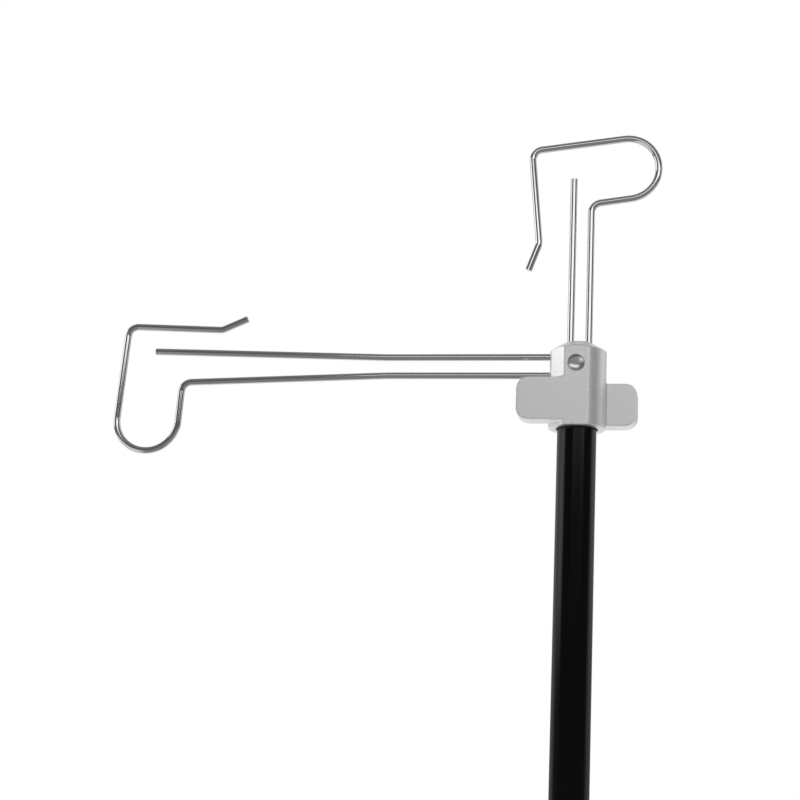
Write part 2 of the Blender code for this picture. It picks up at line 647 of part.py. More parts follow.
def make_head(finishes, axis):
    head = add_part("head_casting", head_mesh(), finishes["satin_aluminium"], axis)
    steep = math.tan(HEAD_TOP_SLOPE)
    wide = HEAD_DIAMETER
    form = add_cutter("head_top_form", profile_mesh("head_top_form", [
        (0.0, HEAD_HEIGHT - TOP_SKIM), (HEAD_TOP_RADIUS, HEAD_HEIGHT - TOP_SKIM),
        (wide, HEAD_HEIGHT - (wide - HEAD_TOP_RADIUS) * steep), (wide, -CUT), (0.0, -CUT)]),
        axis)
    spin(form, ROUND_STEPS)
    boolean(head, form, "INTERSECT")
    for name, side in (("left_wing", -1), ("right_wing", 1)):
        boolean(head, add_cutter(name, wing_mesh(name, side), axis), "UNION")

    bush_top = SWIVEL_BUSH_LENGTH - SWIVEL_BUSH_LIP + GAP
    tube_room = UPPER_TUBE_DIAMETER / 2 + 2 * GAP
    socket = add_cutter("tube_socket", profile_mesh("tube_socket", [
        (0.0, SOCKET_CEILING), (tube_room, SOCKET_CEILING), (tube_room, bush_top),
        (SOCKET_BORE / 2, bush_top), (SOCKET_BORE / 2, -CUT), (0.0, -CUT)]), axis)
    spin(socket, ROUND_STEPS)
    boolean(head, socket, "DIFFERENCE")

    side_high = SIDE_ARM.spacing + SLOT_WIDTH
    side_deep = SIDE_ARM_IN_HEAD + SLOT_PLAY
    side_slot = slot_cutter(
        "side_arm_slot", (side_deep + CUT, SLOT_WIDTH, side_high),
        ((side_deep - CUT) / 2 - HEAD_RADIUS, SIDE_ARM_PLANE, SIDE_ARM_LEVEL), 0)
    boolean(head, add_cutter("side_arm_slot", side_slot, axis), "DIFFERENCE")
    top_low = SOCKET_CEILING - CUT
    top_slot = slot_cutter(
        "top_arm_slot",
        (TOP_ARM.spacing + SLOT_WIDTH, SLOT_WIDTH, HEAD_HEIGHT + CUT - top_low),
        (TOP_ARM_CENTRE, TOP_ARM_PLANE, (HEAD_HEIGHT + CUT + top_low) / 2), 2)
    boolean(head, add_cutter("top_arm_slot", top_slot, axis), "DIFFERENCE")

    radius = FRONT_HOLE_DIAMETER / 2
    point = FRONT_HOLE_DEPTH + radius / math.tan(DRILL_POINT / 2)
    hole = add_cutter("front_hole", profile_mesh("front_hole", [
        (0.0, CUT), (radius, CUT), (radius, -FRONT_HOLE_DEPTH), (0.0, -point)]), axis,
        (0, -FRONT_FLAT, FRONT_HOLE_LEVEL))
    hole.rotation_euler = (math.pi / 2, 0, 0)
    spin(hole, ROUND_STEPS)
    boolean(head, hole, "DIFFERENCE")
    make_head_screws(finishes, axis, head)
    smooth(head)


def make_head_screws(finishes, axis, head):
    """Screws that hold the head on the tube and the two arms in their slots."""
    back = HEAD_RADIUS
    groove_floor = UPPER_TUBE_DIAMETER / 2 - GROOVE_DEPTH
    keeper = (0, back, GROOVE_LEVEL)
    make_set_screw_hole(head, "head_keeper_screw_hole", axis, keeper, (0, -1, 0),
                        back - groove_floor)
    make_set_screw("head_keeper_screw", finishes, axis,
                   (0, back - SET_SCREW_SUNK, GROOVE_LEVEL), (0, -1, 0),
                   back - SET_SCREW_SUNK - groove_floor - GAP, SET_SCREW_KEY_DEPTH / 2)

    wire_back = TOP_ARM_PLANE + WIRE_RADIUS
    screw_x = TOP_ARM_CENTRE + TOP_ARM.spacing / 2
    level = TOP_SCREW_LEVEL
    back = math.sqrt(HEAD_RADIUS ** 2 - (screw_x + SET_SCREW_THREAD / 2) ** 2)
    make_set_screw_hole(head, "top_arm_screw_hole", axis, (screw_x, back, level), (0, -1, 0),
                        back - TOP_ARM_PLANE)
    make_set_screw("top_arm_screw", finishes, axis, (screw_x, back - SET_SCREW_SUNK, level),
                   (0, -1, 0), back - SET_SCREW_SUNK - wire_back - GAP, SET_SCREW_KEY_DEPTH)

    out = SIDE_SCREW_OUT
    roof = HEAD_HEIGHT - (out + SET_SCREW_THREAD / 2 - HEAD_TOP_RADIUS) * math.tan(HEAD_TOP_SLOPE)
    wire_top = SIDE_LEG_LEVEL + WIRE_RADIUS
    make_set_screw_hole(head, "side_arm_screw_hole", axis,
                        (-out, SIDE_ARM_PLANE, HEAD_HEIGHT), (0, 0, -1),
                        HEAD_HEIGHT - SIDE_LEG_LEVEL)
    make_set_screw("side_arm_screw", finishes, axis, (-out, SIDE_ARM_PLANE, roof),
                   (0, 0, -1), roof - wire_top - GAP, SET_SCREW_KEY_DEPTH / 2)


def make_head_bearings(finishes, axis):
    outer = SOCKET_BORE / 2 - GAP
    turned("swivel_bush",
           ring_profile(outer, RUNNING_BORE / 2, -SWIVEL_BUSH_LIP,
                        SWIVEL_BUSH_LENGTH - SWIVEL_BUSH_LIP, SWIVEL_BUSH_EDGE),
           finishes["nylon"], axis)
    turned("thrust_washer",
           ring_profile(UPPER_TUBE_DIAMETER / 2, THRUST_WASHER_BORE / 2,
                        TUBE_IN_HEAD + GAP, TUBE_IN_HEAD + GAP + THRUST_WASHER_THICKNESS),
           finishes["nylon"], axis)


# ---------------------------------------------------------------------- arms
def arm_path(form):
    """Centre line of an arm as flat (along, across) points."""
    half = form.spacing / 2
    hook = -half - form.drop
    trough = FULL_BEND * (form.trough_far - form.trough_near) / 2

    def from_hook(place, radius):
        return (form.hook_at + place[0], hook + place[1], radius)

    hairpin = FULL_BEND * half
    corners = [
        (form.straight, half + form.rise, 0.0),
        (form.bend_at, half, SPRING_BEND),
        (WIRE_RADIUS, half, hairpin),
        (WIRE_RADIUS, -half, hairpin),
        (form.bend_at, -half, SPRING_BEND),
        from_hook((0.0, 0.0), HOOK_BEND),
        from_hook((form.trough_near, -form.trough_depth), trough),
        from_hook((form.trough_far, -form.trough_depth), trough),
        from_hook(form.outer, HOOK_BEND),
        from_hook(form.bar, TIP_BEND),
        from_hook(form.tip, 0.0),
    ]
    return rounded_path(corners)


def make_arm(name, form, along, across, material, parent, place):
    """A wire arm: along and across are directions in the parent's frame."""
    path = bpy.data.curves.new(name, "CURVE")
    path.dimensions = "3D"
    path.bevel_depth = WIRE_RADIUS
    path.bevel_resolution = 4
    path.render_resolution_u = 0
    path.use_fill_caps = True
    points = arm_path(form)
    spline = path.splines.new("POLY")
    spline.points.add(len(points) - 1)
    for knot, point in zip(spline.points, points):
        knot.co = (*(Vector(along) * point.x + Vector(across) * point.y), 1.0)
    add_part(name, path, material, parent, place)


def make_arms(finishes, head_axis):
    side_end = SIDE_ARM_IN_HEAD - HEAD_RADIUS
    make_arm("side_arm", SIDE_ARM, (-1, 0, 0), (0, 0, 1), finishes["polished_wire"],
             head_axis, (side_end, SIDE_ARM_PLANE, SIDE_ARM_LEVEL))
    make_arm("top_arm", TOP_ARM, (0, 0, 1), (-1, 0, 0), finishes["polished_wire"],
             head_axis, (TOP_ARM_CENTRE, TOP_ARM_PLANE, -TOP_ARM_REST))


# ------------------------------------------------------------------- the whole
def make_finishes():
    return {
        "satin_aluminium": finish("satin_aluminium", (0.72, 0.72, 0.73), 0.4, 0.45),
        "polished_wire": finish("polished_wire", (0.75, 0.75, 0.76), 1.0, 0.12),
        "satin_tube": finish("satin_tube", (0.012, 0.012, 0.013), 0.0, 0.35),
        "powder_coat": finish("powder_coat", (0.02, 0.02, 0.021), 0.0, 0.55),
        "cast_black": finish("cast_black", (0.018, 0.018, 0.019), 0.0, 0.45),
        "knob_plastic": finish("knob_plastic", (0.02, 0.02, 0.02), 0.0, 0.4),
        "nylon": finish("nylon", (0.01, 0.01, 0.01), 0.0, 0.5),
        "steel_screw": finish("steel_screw", (0.08, 0.08, 0.085), 0.9, 0.35),
        "rubber": finish("rubber", (0.015, 0.015, 0.015), 0.0, 0.9),
    }


def main():
    finishes = make_finishes()
    make_base(finishes)
    make_flange(finishes)
    make_lower_pole(finishes)
    make_collar(finishes)
    make_clamp(finishes)
    pole_slide = empty_at("pole_slide", (0, 0, HEAD_UNDERSIDE))
    make_upper_pole(finishes, pole_slide)
    head_axis = empty_at("head_axis", (0, 0, 0), pole_slide)
    make_head(finishes, head_axis)
    make_head_bearings(finishes, head_axis)
    make_arms(finishes, head_axis)


main()
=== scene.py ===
"""Spool holder stand: its visible pieces, their finishes, and a plain stage.

Sizes are in metres, in the frame of the packed part: the pole's axis is Z, the
underside of the base is at zero, and the drilled face of the head looks to -Y.
"""

import math

import bmesh
import bpy
from bpy.props import FloatProperty, FloatVectorProperty, IntProperty, PointerProperty
from mathutils import Matrix, Vector


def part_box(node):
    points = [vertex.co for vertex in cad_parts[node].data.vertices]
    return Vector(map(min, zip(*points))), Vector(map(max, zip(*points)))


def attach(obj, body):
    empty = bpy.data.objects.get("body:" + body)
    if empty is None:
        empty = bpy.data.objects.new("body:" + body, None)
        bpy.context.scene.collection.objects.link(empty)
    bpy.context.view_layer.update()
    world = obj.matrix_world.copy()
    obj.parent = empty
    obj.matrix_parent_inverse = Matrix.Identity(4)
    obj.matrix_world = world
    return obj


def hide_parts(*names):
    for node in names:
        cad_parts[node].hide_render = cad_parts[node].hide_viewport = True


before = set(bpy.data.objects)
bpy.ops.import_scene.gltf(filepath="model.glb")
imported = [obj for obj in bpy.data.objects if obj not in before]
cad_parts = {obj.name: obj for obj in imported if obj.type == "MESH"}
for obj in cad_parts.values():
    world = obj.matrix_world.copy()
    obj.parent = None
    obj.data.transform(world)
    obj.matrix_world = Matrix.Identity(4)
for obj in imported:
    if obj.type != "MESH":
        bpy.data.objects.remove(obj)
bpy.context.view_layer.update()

bl_info = {
    "name": "Spool holder stand",
    "version": (1, 0, 0),
    "blender": (4, 5, 0),
    "location": "View3D > Sidebar > Spool stand",
    "description": "Makes the pieces, finishes and stage of a spool holder stand",
    "category": "Object",
}

HEAD_LOW, HEAD_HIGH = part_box("head_casting")
PLATE_LOW, PLATE_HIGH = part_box("base_plate")
FLANGE_LOW, FLANGE_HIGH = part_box("pole_flange")
LOWER_LOW, LOWER_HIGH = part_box("lower_tube")
UPPER_LOW, UPPER_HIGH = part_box("upper_tube")
COLLAR_LOW, COLLAR_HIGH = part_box("height_collar")
KNOB_LOW, KNOB_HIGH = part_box("height_knob")
STUD_LOW, STUD_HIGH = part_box("knob_stud")
FRONT = Vector((0.0, -1.0, 0.0))
UP = Vector((0.0, 0.0, 1.0))
X, Y, Z = range(3)
CUT = 0.002                 # how far a cutter runs past the face it opens
WELD = 0.000001             # vertices closer than this become one
SAME_PLACE = 0.00001        # places closer than this count as the same
ALONG_AXIS = 0.999          # share of its length that an edge along an axis has on it
ROUND_END = 0.49            # corner radius over width, of an end that is all but round
STRAIGHT = 0.0001           # a bend smaller than this has no arc
ARC_STEP = math.radians(15.0)   # bend from point to point of a rounded corner

# Sides of round pieces, from the widest to the smallest.
DISC_STEPS = 256
FLANGE_STEPS = 192
TUBE_STEPS = 160
BORE_STEPS = 128
SMALL_STEPS = 96
ROD_STEPS = 64


# ------------------------------------------------------------ sizes and colours
def length(default, label):
    return FloatProperty(name=label, default=default, soft_min=0.0, unit="LENGTH",
                         precision=5)


def turn(degrees, label):
    return FloatProperty(name=label, default=math.radians(degrees), subtype="ANGLE")


def colour(default, label):
    return FloatVectorProperty(name=label, default=default, size=3, min=0.0, max=1.0,
                               subtype="COLOR")


class HeadSizes(bpy.types.PropertyGroup):
    """Sizes of the cast head."""

    underside: length(HEAD_LOW.z, "Height of the head's underside")
    radius: length(HEAD_HIGH.y, "Pole axis to the head's round side")
    front_flat: length(-HEAD_LOW.y, "Pole axis to the head's flat front")
    side_flat: length(0.0150, "Pole axis to the flat between front and left")
    height: length(HEAD_HIGH.z - HEAD_LOW.z, "Height of the head")
    top_radius: length(0.0072, "Radius of the head's flat top")
    top_slope: turn(30.0, "Fall of the cone round the top")
    wing_span: length(HEAD_HIGH.x - HEAD_LOW.x, "Tip to tip of the wings")
    wing_thickness: length(0.0120, "Front to back of one wing")
    wing_bottom: length(0.0028, "Wing above the head's underside")
    wing_height: length(0.0246, "Height of a wing")
    wing_corner: length(0.0066, "Radius of a wing's outer corners")
    grain: length(0.0004, "Size of the faces of the cast body")
    edge_passes: IntProperty(name="Smoothing passes of the cast edges", default=9, min=0)
    hole_diameter: length(0.0094, "Diameter of the front hole")
    hole_depth: length(0.0050, "Front hole, down to its drill point")
    hole_level: length(0.0355, "Front hole above the head's underside")
    socket_depth: length(0.0275, "Room for the tube, from below")
    bush_depth: length(0.0167, "Room for the bush, from below")
    top_slot_depth: length(0.0255, "Top slot's floor above the head's underside")
    drill_point: turn(118.0, "Angle of the drill's point")


class ArmSizes(bpy.types.PropertyGroup):
    """Sizes of the bent wire arms."""

    wire: length(0.0040, "Diameter of the wire")
    side_plane: length(-0.0003, "Y of the side arm")
    side_level: length(0.0365, "Middle of the side arm above the underside")
    side_in_head: length(0.0200, "Side arm's bend inside the head's side")
    top_plane: length(0.0047, "Y of the top arm")
    top_centre: length(0.0002, "X of the middle of the top arm")
    top_rest: length(0.1010, "Top arm's bend below the head's underside")
    hook_bend: length(0.0060, "Radius of the hooks' bends")
    tip_bend: length(0.0080, "Radius of the flared tips")
    spring_bend: length(0.250, "Radius where the legs spread")


class PoleSizes(bpy.types.PropertyGroup):
    """Sizes of the pole, its collar and its knob."""

    upper: length(UPPER_HIGH.x - UPPER_LOW.x, "Diameter of the upper tube")
    upper_wall: length(0.0012, "Wall of the upper tube")
    lower: length(LOWER_HIGH.x - LOWER_LOW.x, "Diameter of the lower tube")
    lower_wall: length(0.0015, "Wall of the lower tube")
    air: length(0.0003, "Air between pieces that touch")
    bush_wall: length(0.0003, "Wall of the bush under the head")
    collar: length(COLLAR_HIGH.y - COLLAR_LOW.y, "Diameter of the collar")
    boss: length(0.0180, "Diameter of the collar's boss")
    stud: length(STUD_HIGH.y - STUD_LOW.y, "Thread of the clamping screw")
    stud_pitch: length(0.00125, "Pitch of the clamping screw")
    knob: length(0.036, "Diameter over the knob's lobes")
    knob_hub: length(0.018, "Diameter of the knob's hub")
    knob_hub_length: length(0.005, "Length of the knob's hub")
    knob_scallop: length(0.0045, "Depth of the grips between the lobes")
    knob_rim: length(0.0020, "Rounding of the knob's outer rim")
    knob_dish: length(0.0230, "Diameter of the dish in the knob's face")
    knob_dish_depth: length(0.0008, "Depth of the dish in the knob's face")
    knob_lobes: IntProperty(name="Number of lobes round the knob", default=6, min=3)


class BaseSizes(bpy.types.PropertyGroup):
    """Sizes of the base and its flange."""

    plate: length(PLATE_HIGH.x - PLATE_LOW.x, "Diameter of the base plate")
    plate_edge: length(0.0035, "Rounding of the plate's upper edge")
    pad_inset: length(0.003, "Pad's edge inside the plate's edge")
    pad_thickness: length(0.002, "Rubber under the plate")
    rib_pitch: length(0.006, "Distance of the rings under the pad")
    rib_depth: length(0.0006, "Depth of the rings under the pad")
    flange_thickness: length(0.006, "Disc of the pole's flange")
    boss_wall: length(0.005, "Wall of the flange's boss")
    fillet: length(0.003, "Fillet between boss and disc")


class ScrewSizes(bpy.types.PropertyGroup):
    """Sizes of the screws."""

    cap_thread: length(0.005, "Thread of the flange's screws")
    cap_head: length(0.0085, "Diameter of the flange screws' heads")
    set_thread: length(0.004, "Thread of the set screws")
    set_tip: length(0.0024, "Diameter of the set screws' tips")
    set_tip_length: length(0.0012, "Length of the set screws' tips")
    set_key: length(0.0020, "Across the flats of the hexagon sockets")


class FinishColours(bpy.types.PropertyGroup):
    """Base colours of the finishes."""

    cast: colour((0.85, 0.85, 0.855), "Blasted metal of the head")
    bore: colour((0.72, 0.72, 0.725), "Machined metal in the head's holes")
    wire: colour((0.55, 0.55, 0.555), "Polished wire")
    tube: colour((0.0009, 0.0009, 0.0010), "Black coat of the tubes")
    powder: colour((0.020, 0.020, 0.021), "Powder coat of plate and flange")
    collar: colour((0.018, 0.018, 0.019), "Black coat of the collar")
    knob: colour((0.020, 0.020, 0.020), "Moulded plastic of the knob")
    nylon: colour((0.010, 0.010, 0.010), "Nylon of bushes and washer")
    oxide: colour((0.055, 0.055, 0.060), "Black oxide of the screws")
    rubber: colour((0.016, 0.016, 0.016), "Rubber pad under the base")
    floor: colour((0.90, 0.90, 0.90), "Floor of the stage")


class StageSizes(bpy.types.PropertyGroup):
    """Camera, lamps and floor."""

    station: FloatVectorProperty(name="Place of the photograph's camera", size=3,
                                 default=(0.0787, -0.9703, 0.3501), unit="LENGTH")
    azimuth: turn(10.53, "Camera turned to the left of +Y")
    pitch: turn(12.94, "Camera tipped up")
    roll: turn(2.56, "Camera rolled")
    focal_pixels: FloatProperty(name="Focal length in pixels", default=1764.0)
    floor: length(3.0, "Side of the floor")


class StandSettings(bpy.types.PropertyGroup):
    """Everything that the sidebar shows."""

    head: PointerProperty(type=HeadSizes)
    arms: PointerProperty(type=ArmSizes)
    pole: PointerProperty(type=PoleSizes)
    base: PointerProperty(type=BaseSizes)
    screws: PointerProperty(type=ScrewSizes)
    colours: PointerProperty(type=FinishColours)
    stage: PointerProperty(type=StageSizes)


# --------------------------------------------------------------------- finishes
class Value:
    """A socket of a node tree, so that shader maths reads as plain maths."""

    def __init__(self, tree, socket):
        self.tree = tree
        self.socket = socket

    def maths(self, operation, *values):
        return self.tree.node("ShaderNodeMath", {"operation": operation},
                              dict(enumerate(values)))

    def __add__(self, other):
        return self.maths("ADD", self, other)

    __radd__ = __add__

    def __sub__(self, other):
        return self.maths("SUBTRACT", self, other)

    def __rsub__(self, other):
        return self.maths("SUBTRACT", other, self)

    def __mul__(self, other):
        return self.maths("MULTIPLY", self, other)

    __rmul__ = __mul__

    def at_least(self, other):
        """The larger one of two values."""
        return self.maths("MAXIMUM", self, other)

    def ramp(self, low, high):
        """0 at low and 1 at high, smooth between them."""
        return self.tree.node("ShaderNodeMapRange", {"interpolation_type": "SMOOTHSTEP"},
                              {"Value": self, "From Min": low, "From Max": high})


class Tree:
    """A node tree that is written with plain calls."""

    def __init__(self, owner):
        owner.use_nodes = True
        self.tree = owner.node_tree

    def node(self, kind, settings=None, inputs=None, output=0):
        """A node of one type: its settings first, then its sockets."""
        node = self.tree.nodes.new(kind)
        for name, setting in (settings or {}).items():
            setattr(node, name, setting)
        for name, value in (inputs or {}).items():
            self.feed(node.inputs[name], value)
        return Value(self, node.outputs[output]) if len(node.outputs) else node

    def feed(self, socket, value):
        if isinstance(value, Value):
            self.tree.links.new(value.socket, socket)
        else:
            socket.default_value = value


class Finish(Tree):
    """A Principled material whose patterns follow Object coordinates."""

    def __init__(self, name, **constants):
        self.material = bpy.data.materials.new(name)
        super().__init__(self.material)
        self.shader = self.tree.nodes["Principled BSDF"]
        self.place = self.node("ShaderNodeTexCoord", output="Object")
        for socket, value in constants.items():
            self.set(socket.replace("_", " "), value)

    def set(self, socket, value):
        self.feed(self.shader.inputs[socket], value)

    def noise(self, size, stretch=(1.0, 1.0, 1.0), detail=2.0):
        """Noise with grains of one size in metres, stretched along the axes."""
        scale = [1.0 / (size * along) for along in stretch]
        place = self.node("ShaderNodeMapping", {}, {"Vector": self.place, "Scale": scale})
        return self.node("ShaderNodeTexNoise", {},
                         {"Vector": place, "Scale": 1.0, "Detail": detail})

    def between(self, factor, low, high):
        """A colour between two, by a factor."""
        return self.node("ShaderNodeMix", {"data_type": "RGBA"},
                         {"Factor": factor, "A": (*low, 1.0), "B": (*high, 1.0)}, "Result")

    def tinted(self, colour, factor, spread):
        """The colour, darker and lighter by spread with the factor."""
        low = [channel * (1.0 - spread) for channel in colour]
        high = [min(1.0, channel * (1.0 + spread)) for channel in colour]
        return self.between(factor, low, high)

    def bump(self, height, distance):
        return self.node("ShaderNodeBump", {}, {"Height": height, "Distance": distance})


def blasted_metal(colours):
    """Fine bead-blasted satin metal, faintly mottled."""
    finish = Finish("blasted_metal", Metallic=0.88)
    grit = finish.noise(0.00045, detail=3.0)
    mottle = finish.noise(0.0012)
    cloud = finish.noise(0.009, detail=3.0)
    shade = cloud * 0.15 + mottle * 0.65 + grit * 0.20
    finish.set("Base Color", finish.tinted(colours.cast, shade, 0.17))
    finish.set("Roughness", 0.40 + cloud * 0.05 + grit * 0.08)
    finish.set("Normal", finish.bump(grit, 0.00003))
    return finish.material


def machined_bore(colours):
    """Bright cut metal with fine tool rings, for drilled holes and slots."""
    finish = Finish("machined_bore", Metallic=1.0)
    rings = finish.noise(0.00025, stretch=(8.0, 1.0, 8.0))
    finish.set("Base Color", finish.tinted(colours.bore, rings, 0.10))
    finish.set("Roughness", 0.22 + rings * 0.14)
    finish.set("Normal", finish.bump(rings, 0.00001))
    return finish.material


def polished_wire(colours):
    """Drawn and polished wire: long draw lines and a few dull clouds."""
    finish = Finish("polished_wire", Metallic=1.0)
    lines = finish.noise(0.00016, stretch=(160.0, 1.0, 160.0))
    clouds = finish.noise(0.012)
    finish.set("Base Color", finish.tinted(colours.wire, lines * 0.7 + clouds * 0.3, 0.06))
    finish.set("Roughness", 0.07 + lines * 0.04 + clouds * 0.04)
    finish.set("Normal", finish.bump(lines, 0.0000015))
    return finish.material


def black_coat(name, colour, size, depth, rough, spread=0.25):
    """A black coat whose skin has grains of one size."""
    finish = Finish(name)
    skin = finish.noise(size)
    cloud = finish.noise(0.02, detail=3.0)
    finish.set("Base Color", finish.tinted(colour, cloud * 0.7 + skin * 0.3, spread))
    finish.set("Roughness", rough + cloud * 0.08 + skin * 0.05)
    finish.set("Normal", finish.bump(skin, depth))
    return finish.material


def satin_tube(colours):
    """Smooth satin black coat with faint draw lines along the tube."""
    finish = Finish("satin_tube", Specular_IOR_Level=0.23)
    lines = finish.noise(0.0006, stretch=(1.0, 1.0, 60.0))
    cloud = finish.noise(0.03, detail=3.0)
    finish.set("Base Color", finish.tinted(colours.tube, cloud, 0.2))
    finish.set("Roughness", 0.13 + lines * 0.04 + cloud * 0.05)
    finish.set("Normal", finish.bump(lines, 0.000006))
    return finish.material


def black_oxide(colours):
    """Dark oxide on steel, rubbed lighter in places."""
    finish = Finish("black_oxide", Metallic=0.9)
    rubbed = finish.noise(0.0016, detail=3.0).ramp(0.5, 0.75)
    light = [channel * 2.2 for channel in colours.oxide]
    finish.set("Base Color", finish.between(rubbed, colours.oxide, light))
    finish.set("Roughness", 0.36 - rubbed * 0.1)
    finish.set("Normal", finish.bump(finish.noise(0.0002), 0.000008))
    return finish.material


def make_finishes(colours):
    return {
        "cast": blasted_metal(colours),
        "bore": machined_bore(colours),
        "wire": polished_wire(colours),
        "tube": satin_tube(colours),
        "powder": black_coat("powder_coat", colours.powder, 0.0009, 0.00006, 0.46),
        "collar": black_coat("black_collar", colours.collar, 0.0004, 0.000015, 0.34),
        "knob": black_coat("moulded_knob", colours.knob, 0.0005, 0.00003, 0.40),
        "nylon": black_coat("nylon", colours.nylon, 0.0006, 0.00001, 0.44),
        "oxide": black_oxide(colours),
        "rubber": black_coat("rubber", colours.rubber, 0.0007, 0.00004, 0.74, 0.15),
    }


FINISHES = {}


def finish_of(name):
    """A finish by name; all are made at the first use."""
    if not FINISHES:
        FINISHES.update(make_finishes(bpy.context.scene.spool_stand.colours))
    return FINISHES[name]


# ---------------------------------------------------------------- mesh helpers
def lathe(profile, steps):
    """A bmesh turned about Z from (radius, height) points, a ring if off the axis."""
    bm = bmesh.new()
    row = [bm.verts.new((radius, 0.0, height)) for radius, height in profile]
    pairs = list(zip(row, row[1:]))
    if profile[0][0] > 0.0:
        pairs.append((row[-1], row[0]))
    edges = [bm.edges.new(pair) for pair in pairs]
    bmesh.ops.spin(bm, geom=row + edges, cent=(0, 0, 0), axis=(0, 0, 1), dvec=(0, 0, 0),
                   angle=2 * math.pi, steps=steps, use_merge=True)
    bmesh.ops.remove_doubles(bm, verts=bm.verts, dist=WELD)
    bmesh.ops.recalc_face_normals(bm, faces=bm.faces)
    return bm


def rod(diameter, start, end, steps=ROD_STEPS):
    """A bmesh of a rod between two places."""
    run = Vector(end) - Vector(start)
    bm = bmesh.new()
    bmesh.ops.create_cone(bm, cap_ends=True, segments=steps, radius1=diameter / 2,
                          radius2=diameter / 2, depth=run.length)
    bmesh.ops.rotate(bm, verts=bm.verts, cent=(0, 0, 0),
                     matrix=run.to_track_quat("Z", "Y").to_matrix())
    bmesh.ops.translate(bm, vec=(Vector(start) + Vector(end)) / 2, verts=bm.verts)
    return bm


def block(size, centre):
    bm = bmesh.new()
    bmesh.ops.create_cube(bm, size=1.0)
    bmesh.ops.scale(bm, vec=size, verts=bm.verts)
    bmesh.ops.translate(bm, vec=centre, verts=bm.verts)
    return bm


def aimed(bm, direction, place):
    """Turns a bmesh from +Z to a direction, then moves it to a place."""
    turned = Vector(direction).to_track_quat("Z", "Y").to_matrix()
    bmesh.ops.rotate(bm, verts=bm.verts, cent=(0, 0, 0), matrix=turned)
    bmesh.ops.translate(bm, verts=bm.verts, vec=place)
    return bm


def edges_along(bm, axis):
    picked = []
    for edge in bm.edges:
        run = edge.verts[1].co - edge.verts[0].co
        if abs(run[axis]) > ALONG_AXIS * run.length:
            picked.append(edge)
    return picked


def bevel(bm, edges, width, segments):
    bmesh.ops.bevel(bm, geom=edges, offset=width, offset_type="OFFSET",
                    segments=segments, profile=0.5, affect="EDGES",
                    clamp_overlap=True, material=-1)


def rounded_corner(before, corner, after, radius, arc_step):
    """Points of the arc that rounds one corner of a flat path."""
    back = (before - corner).normalized()
    on = (after - corner).normalized()
    bend = math.pi - back.angle(on)
    if radius <= 0.0 or bend < STRAIGHT:
        return [corner]
    centre = corner + (back + on).normalized() * (radius / math.cos(bend / 2))
    start = corner + back * (radius * math.tan(bend / 2)) - centre
    side = 1.0 if (corner - before).cross(after - corner) > 0 else -1.0
    steps = max(2, math.ceil(bend / arc_step))
    return [centre + Matrix.Rotation(side * bend * step / steps, 2) @ start
            for step in range(steps + 1)]


def rounded_path(corners, arc_step=ARC_STEP):
    """A flat path through (x, y, radius) corners."""
    places = [Vector(corner[:2]) for corner in corners]
    points = [places[0]]
    for index in range(1, len(corners) - 1):
        points += rounded_corner(*places[index - 1:index + 2], corners[index][2], arc_step)
    points.append(places[-1])
    return points


def ring_profile(corners, arc_step=ARC_STEP):
    """A closed profile with every corner rounded."""
    loop = [corners[-1], *corners, corners[0]]
    return rounded_path(loop, arc_step)[1:-1]


def mesh_of(name, bm):
    mesh = bpy.data.meshes.new(name)
    bm.to_mesh(mesh)
    bm.free()
    return mesh


def temporary(name, bm, material_index=0):
    """An object that only serves a modifier."""
    thing = bpy.data.objects.new(name, mesh_of(name, bm))
    for face in thing.data.polygons:
        face.material_index = material_index
    bpy.context.scene.collection.objects.link(thing)
    return thing


class Shaped:
    """A mesh that is carved with modifiers, which are applied at the end."""

    def __init__(self, name, bm, materials=()):
        self.body = temporary(name, bm)
        self.tools = []
        for material in materials:
            self.body.data.materials.append(material)

    def carve(self, operation, bm, material_index=0):
        tool = temporary(f"{self.body.name}_tool", bm, material_index)
        self.tools.append(tool)
        step = self.body.modifiers.new(operation, "BOOLEAN")
        step.operation = operation
        step.solver = "EXACT"
        step.material_mode = "INDEX"
        step.object = tool

    def add(self, bm):
        self.carve("UNION", bm)

    def cut(self, bm, material_index=0):
        self.carve("DIFFERENCE", bm, material_index)

    def soften(self, grain, passes):
        """Even faces of one size, then edges rounded by smoothing."""
        remesh = self.body.modifiers.new("even", "REMESH")
        remesh.mode = "VOXEL"
        remesh.voxel_size = grain
        remesh.use_smooth_shade = True
        smoothing = self.body.modifiers.new("smoothed", "SMOOTH")
        smoothing.factor = 0.5
        smoothing.iterations = passes

    def done(self):
        """The finished mesh; the objects that made it are removed."""
        graph = bpy.context.evaluated_depsgraph_get()
        mesh = bpy.data.meshes.new_from_object(self.body.evaluated_get(graph))
        if not mesh.polygons:
            raise RuntimeError(f"{self.body.name} came out empty")
        for thing in (self.body, *self.tools):
            bpy.data.objects.remove(thing, do_unlink=True)
        return mesh


def piece(name, shape, finishes, body, nodes, sharp=30.0):
    """A finished piece that stands for CAD nodes and rides on their body."""
    mesh = mesh_of(name, shape) if isinstance(shape, bmesh.types.BMesh) else shape
    mesh.name = name
    if len(mesh.materials) == 0:
        for finish in finishes:
            mesh.materials.append(finish_of(finish))
    mesh.shade_smooth()
    mesh.set_sharp_from_angle(angle=math.radians(sharp))
    made = bpy.data.objects.new(name, mesh)
    bpy.context.scene.collection.objects.link(made)
    flats = made.modifiers.new("flats stay flat", "WEIGHTED_NORMAL")
    flats.keep_sharp = True
    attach(made, body)
    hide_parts(*nodes)
    return made


def joined(parts):
    """Several bmeshes as one."""
    whole = bmesh.new()
    for part in parts:
        mesh = mesh_of("part", part)
        whole.from_mesh(mesh)
        bpy.data.meshes.remove(mesh)
    return whole


OPERATORS = []


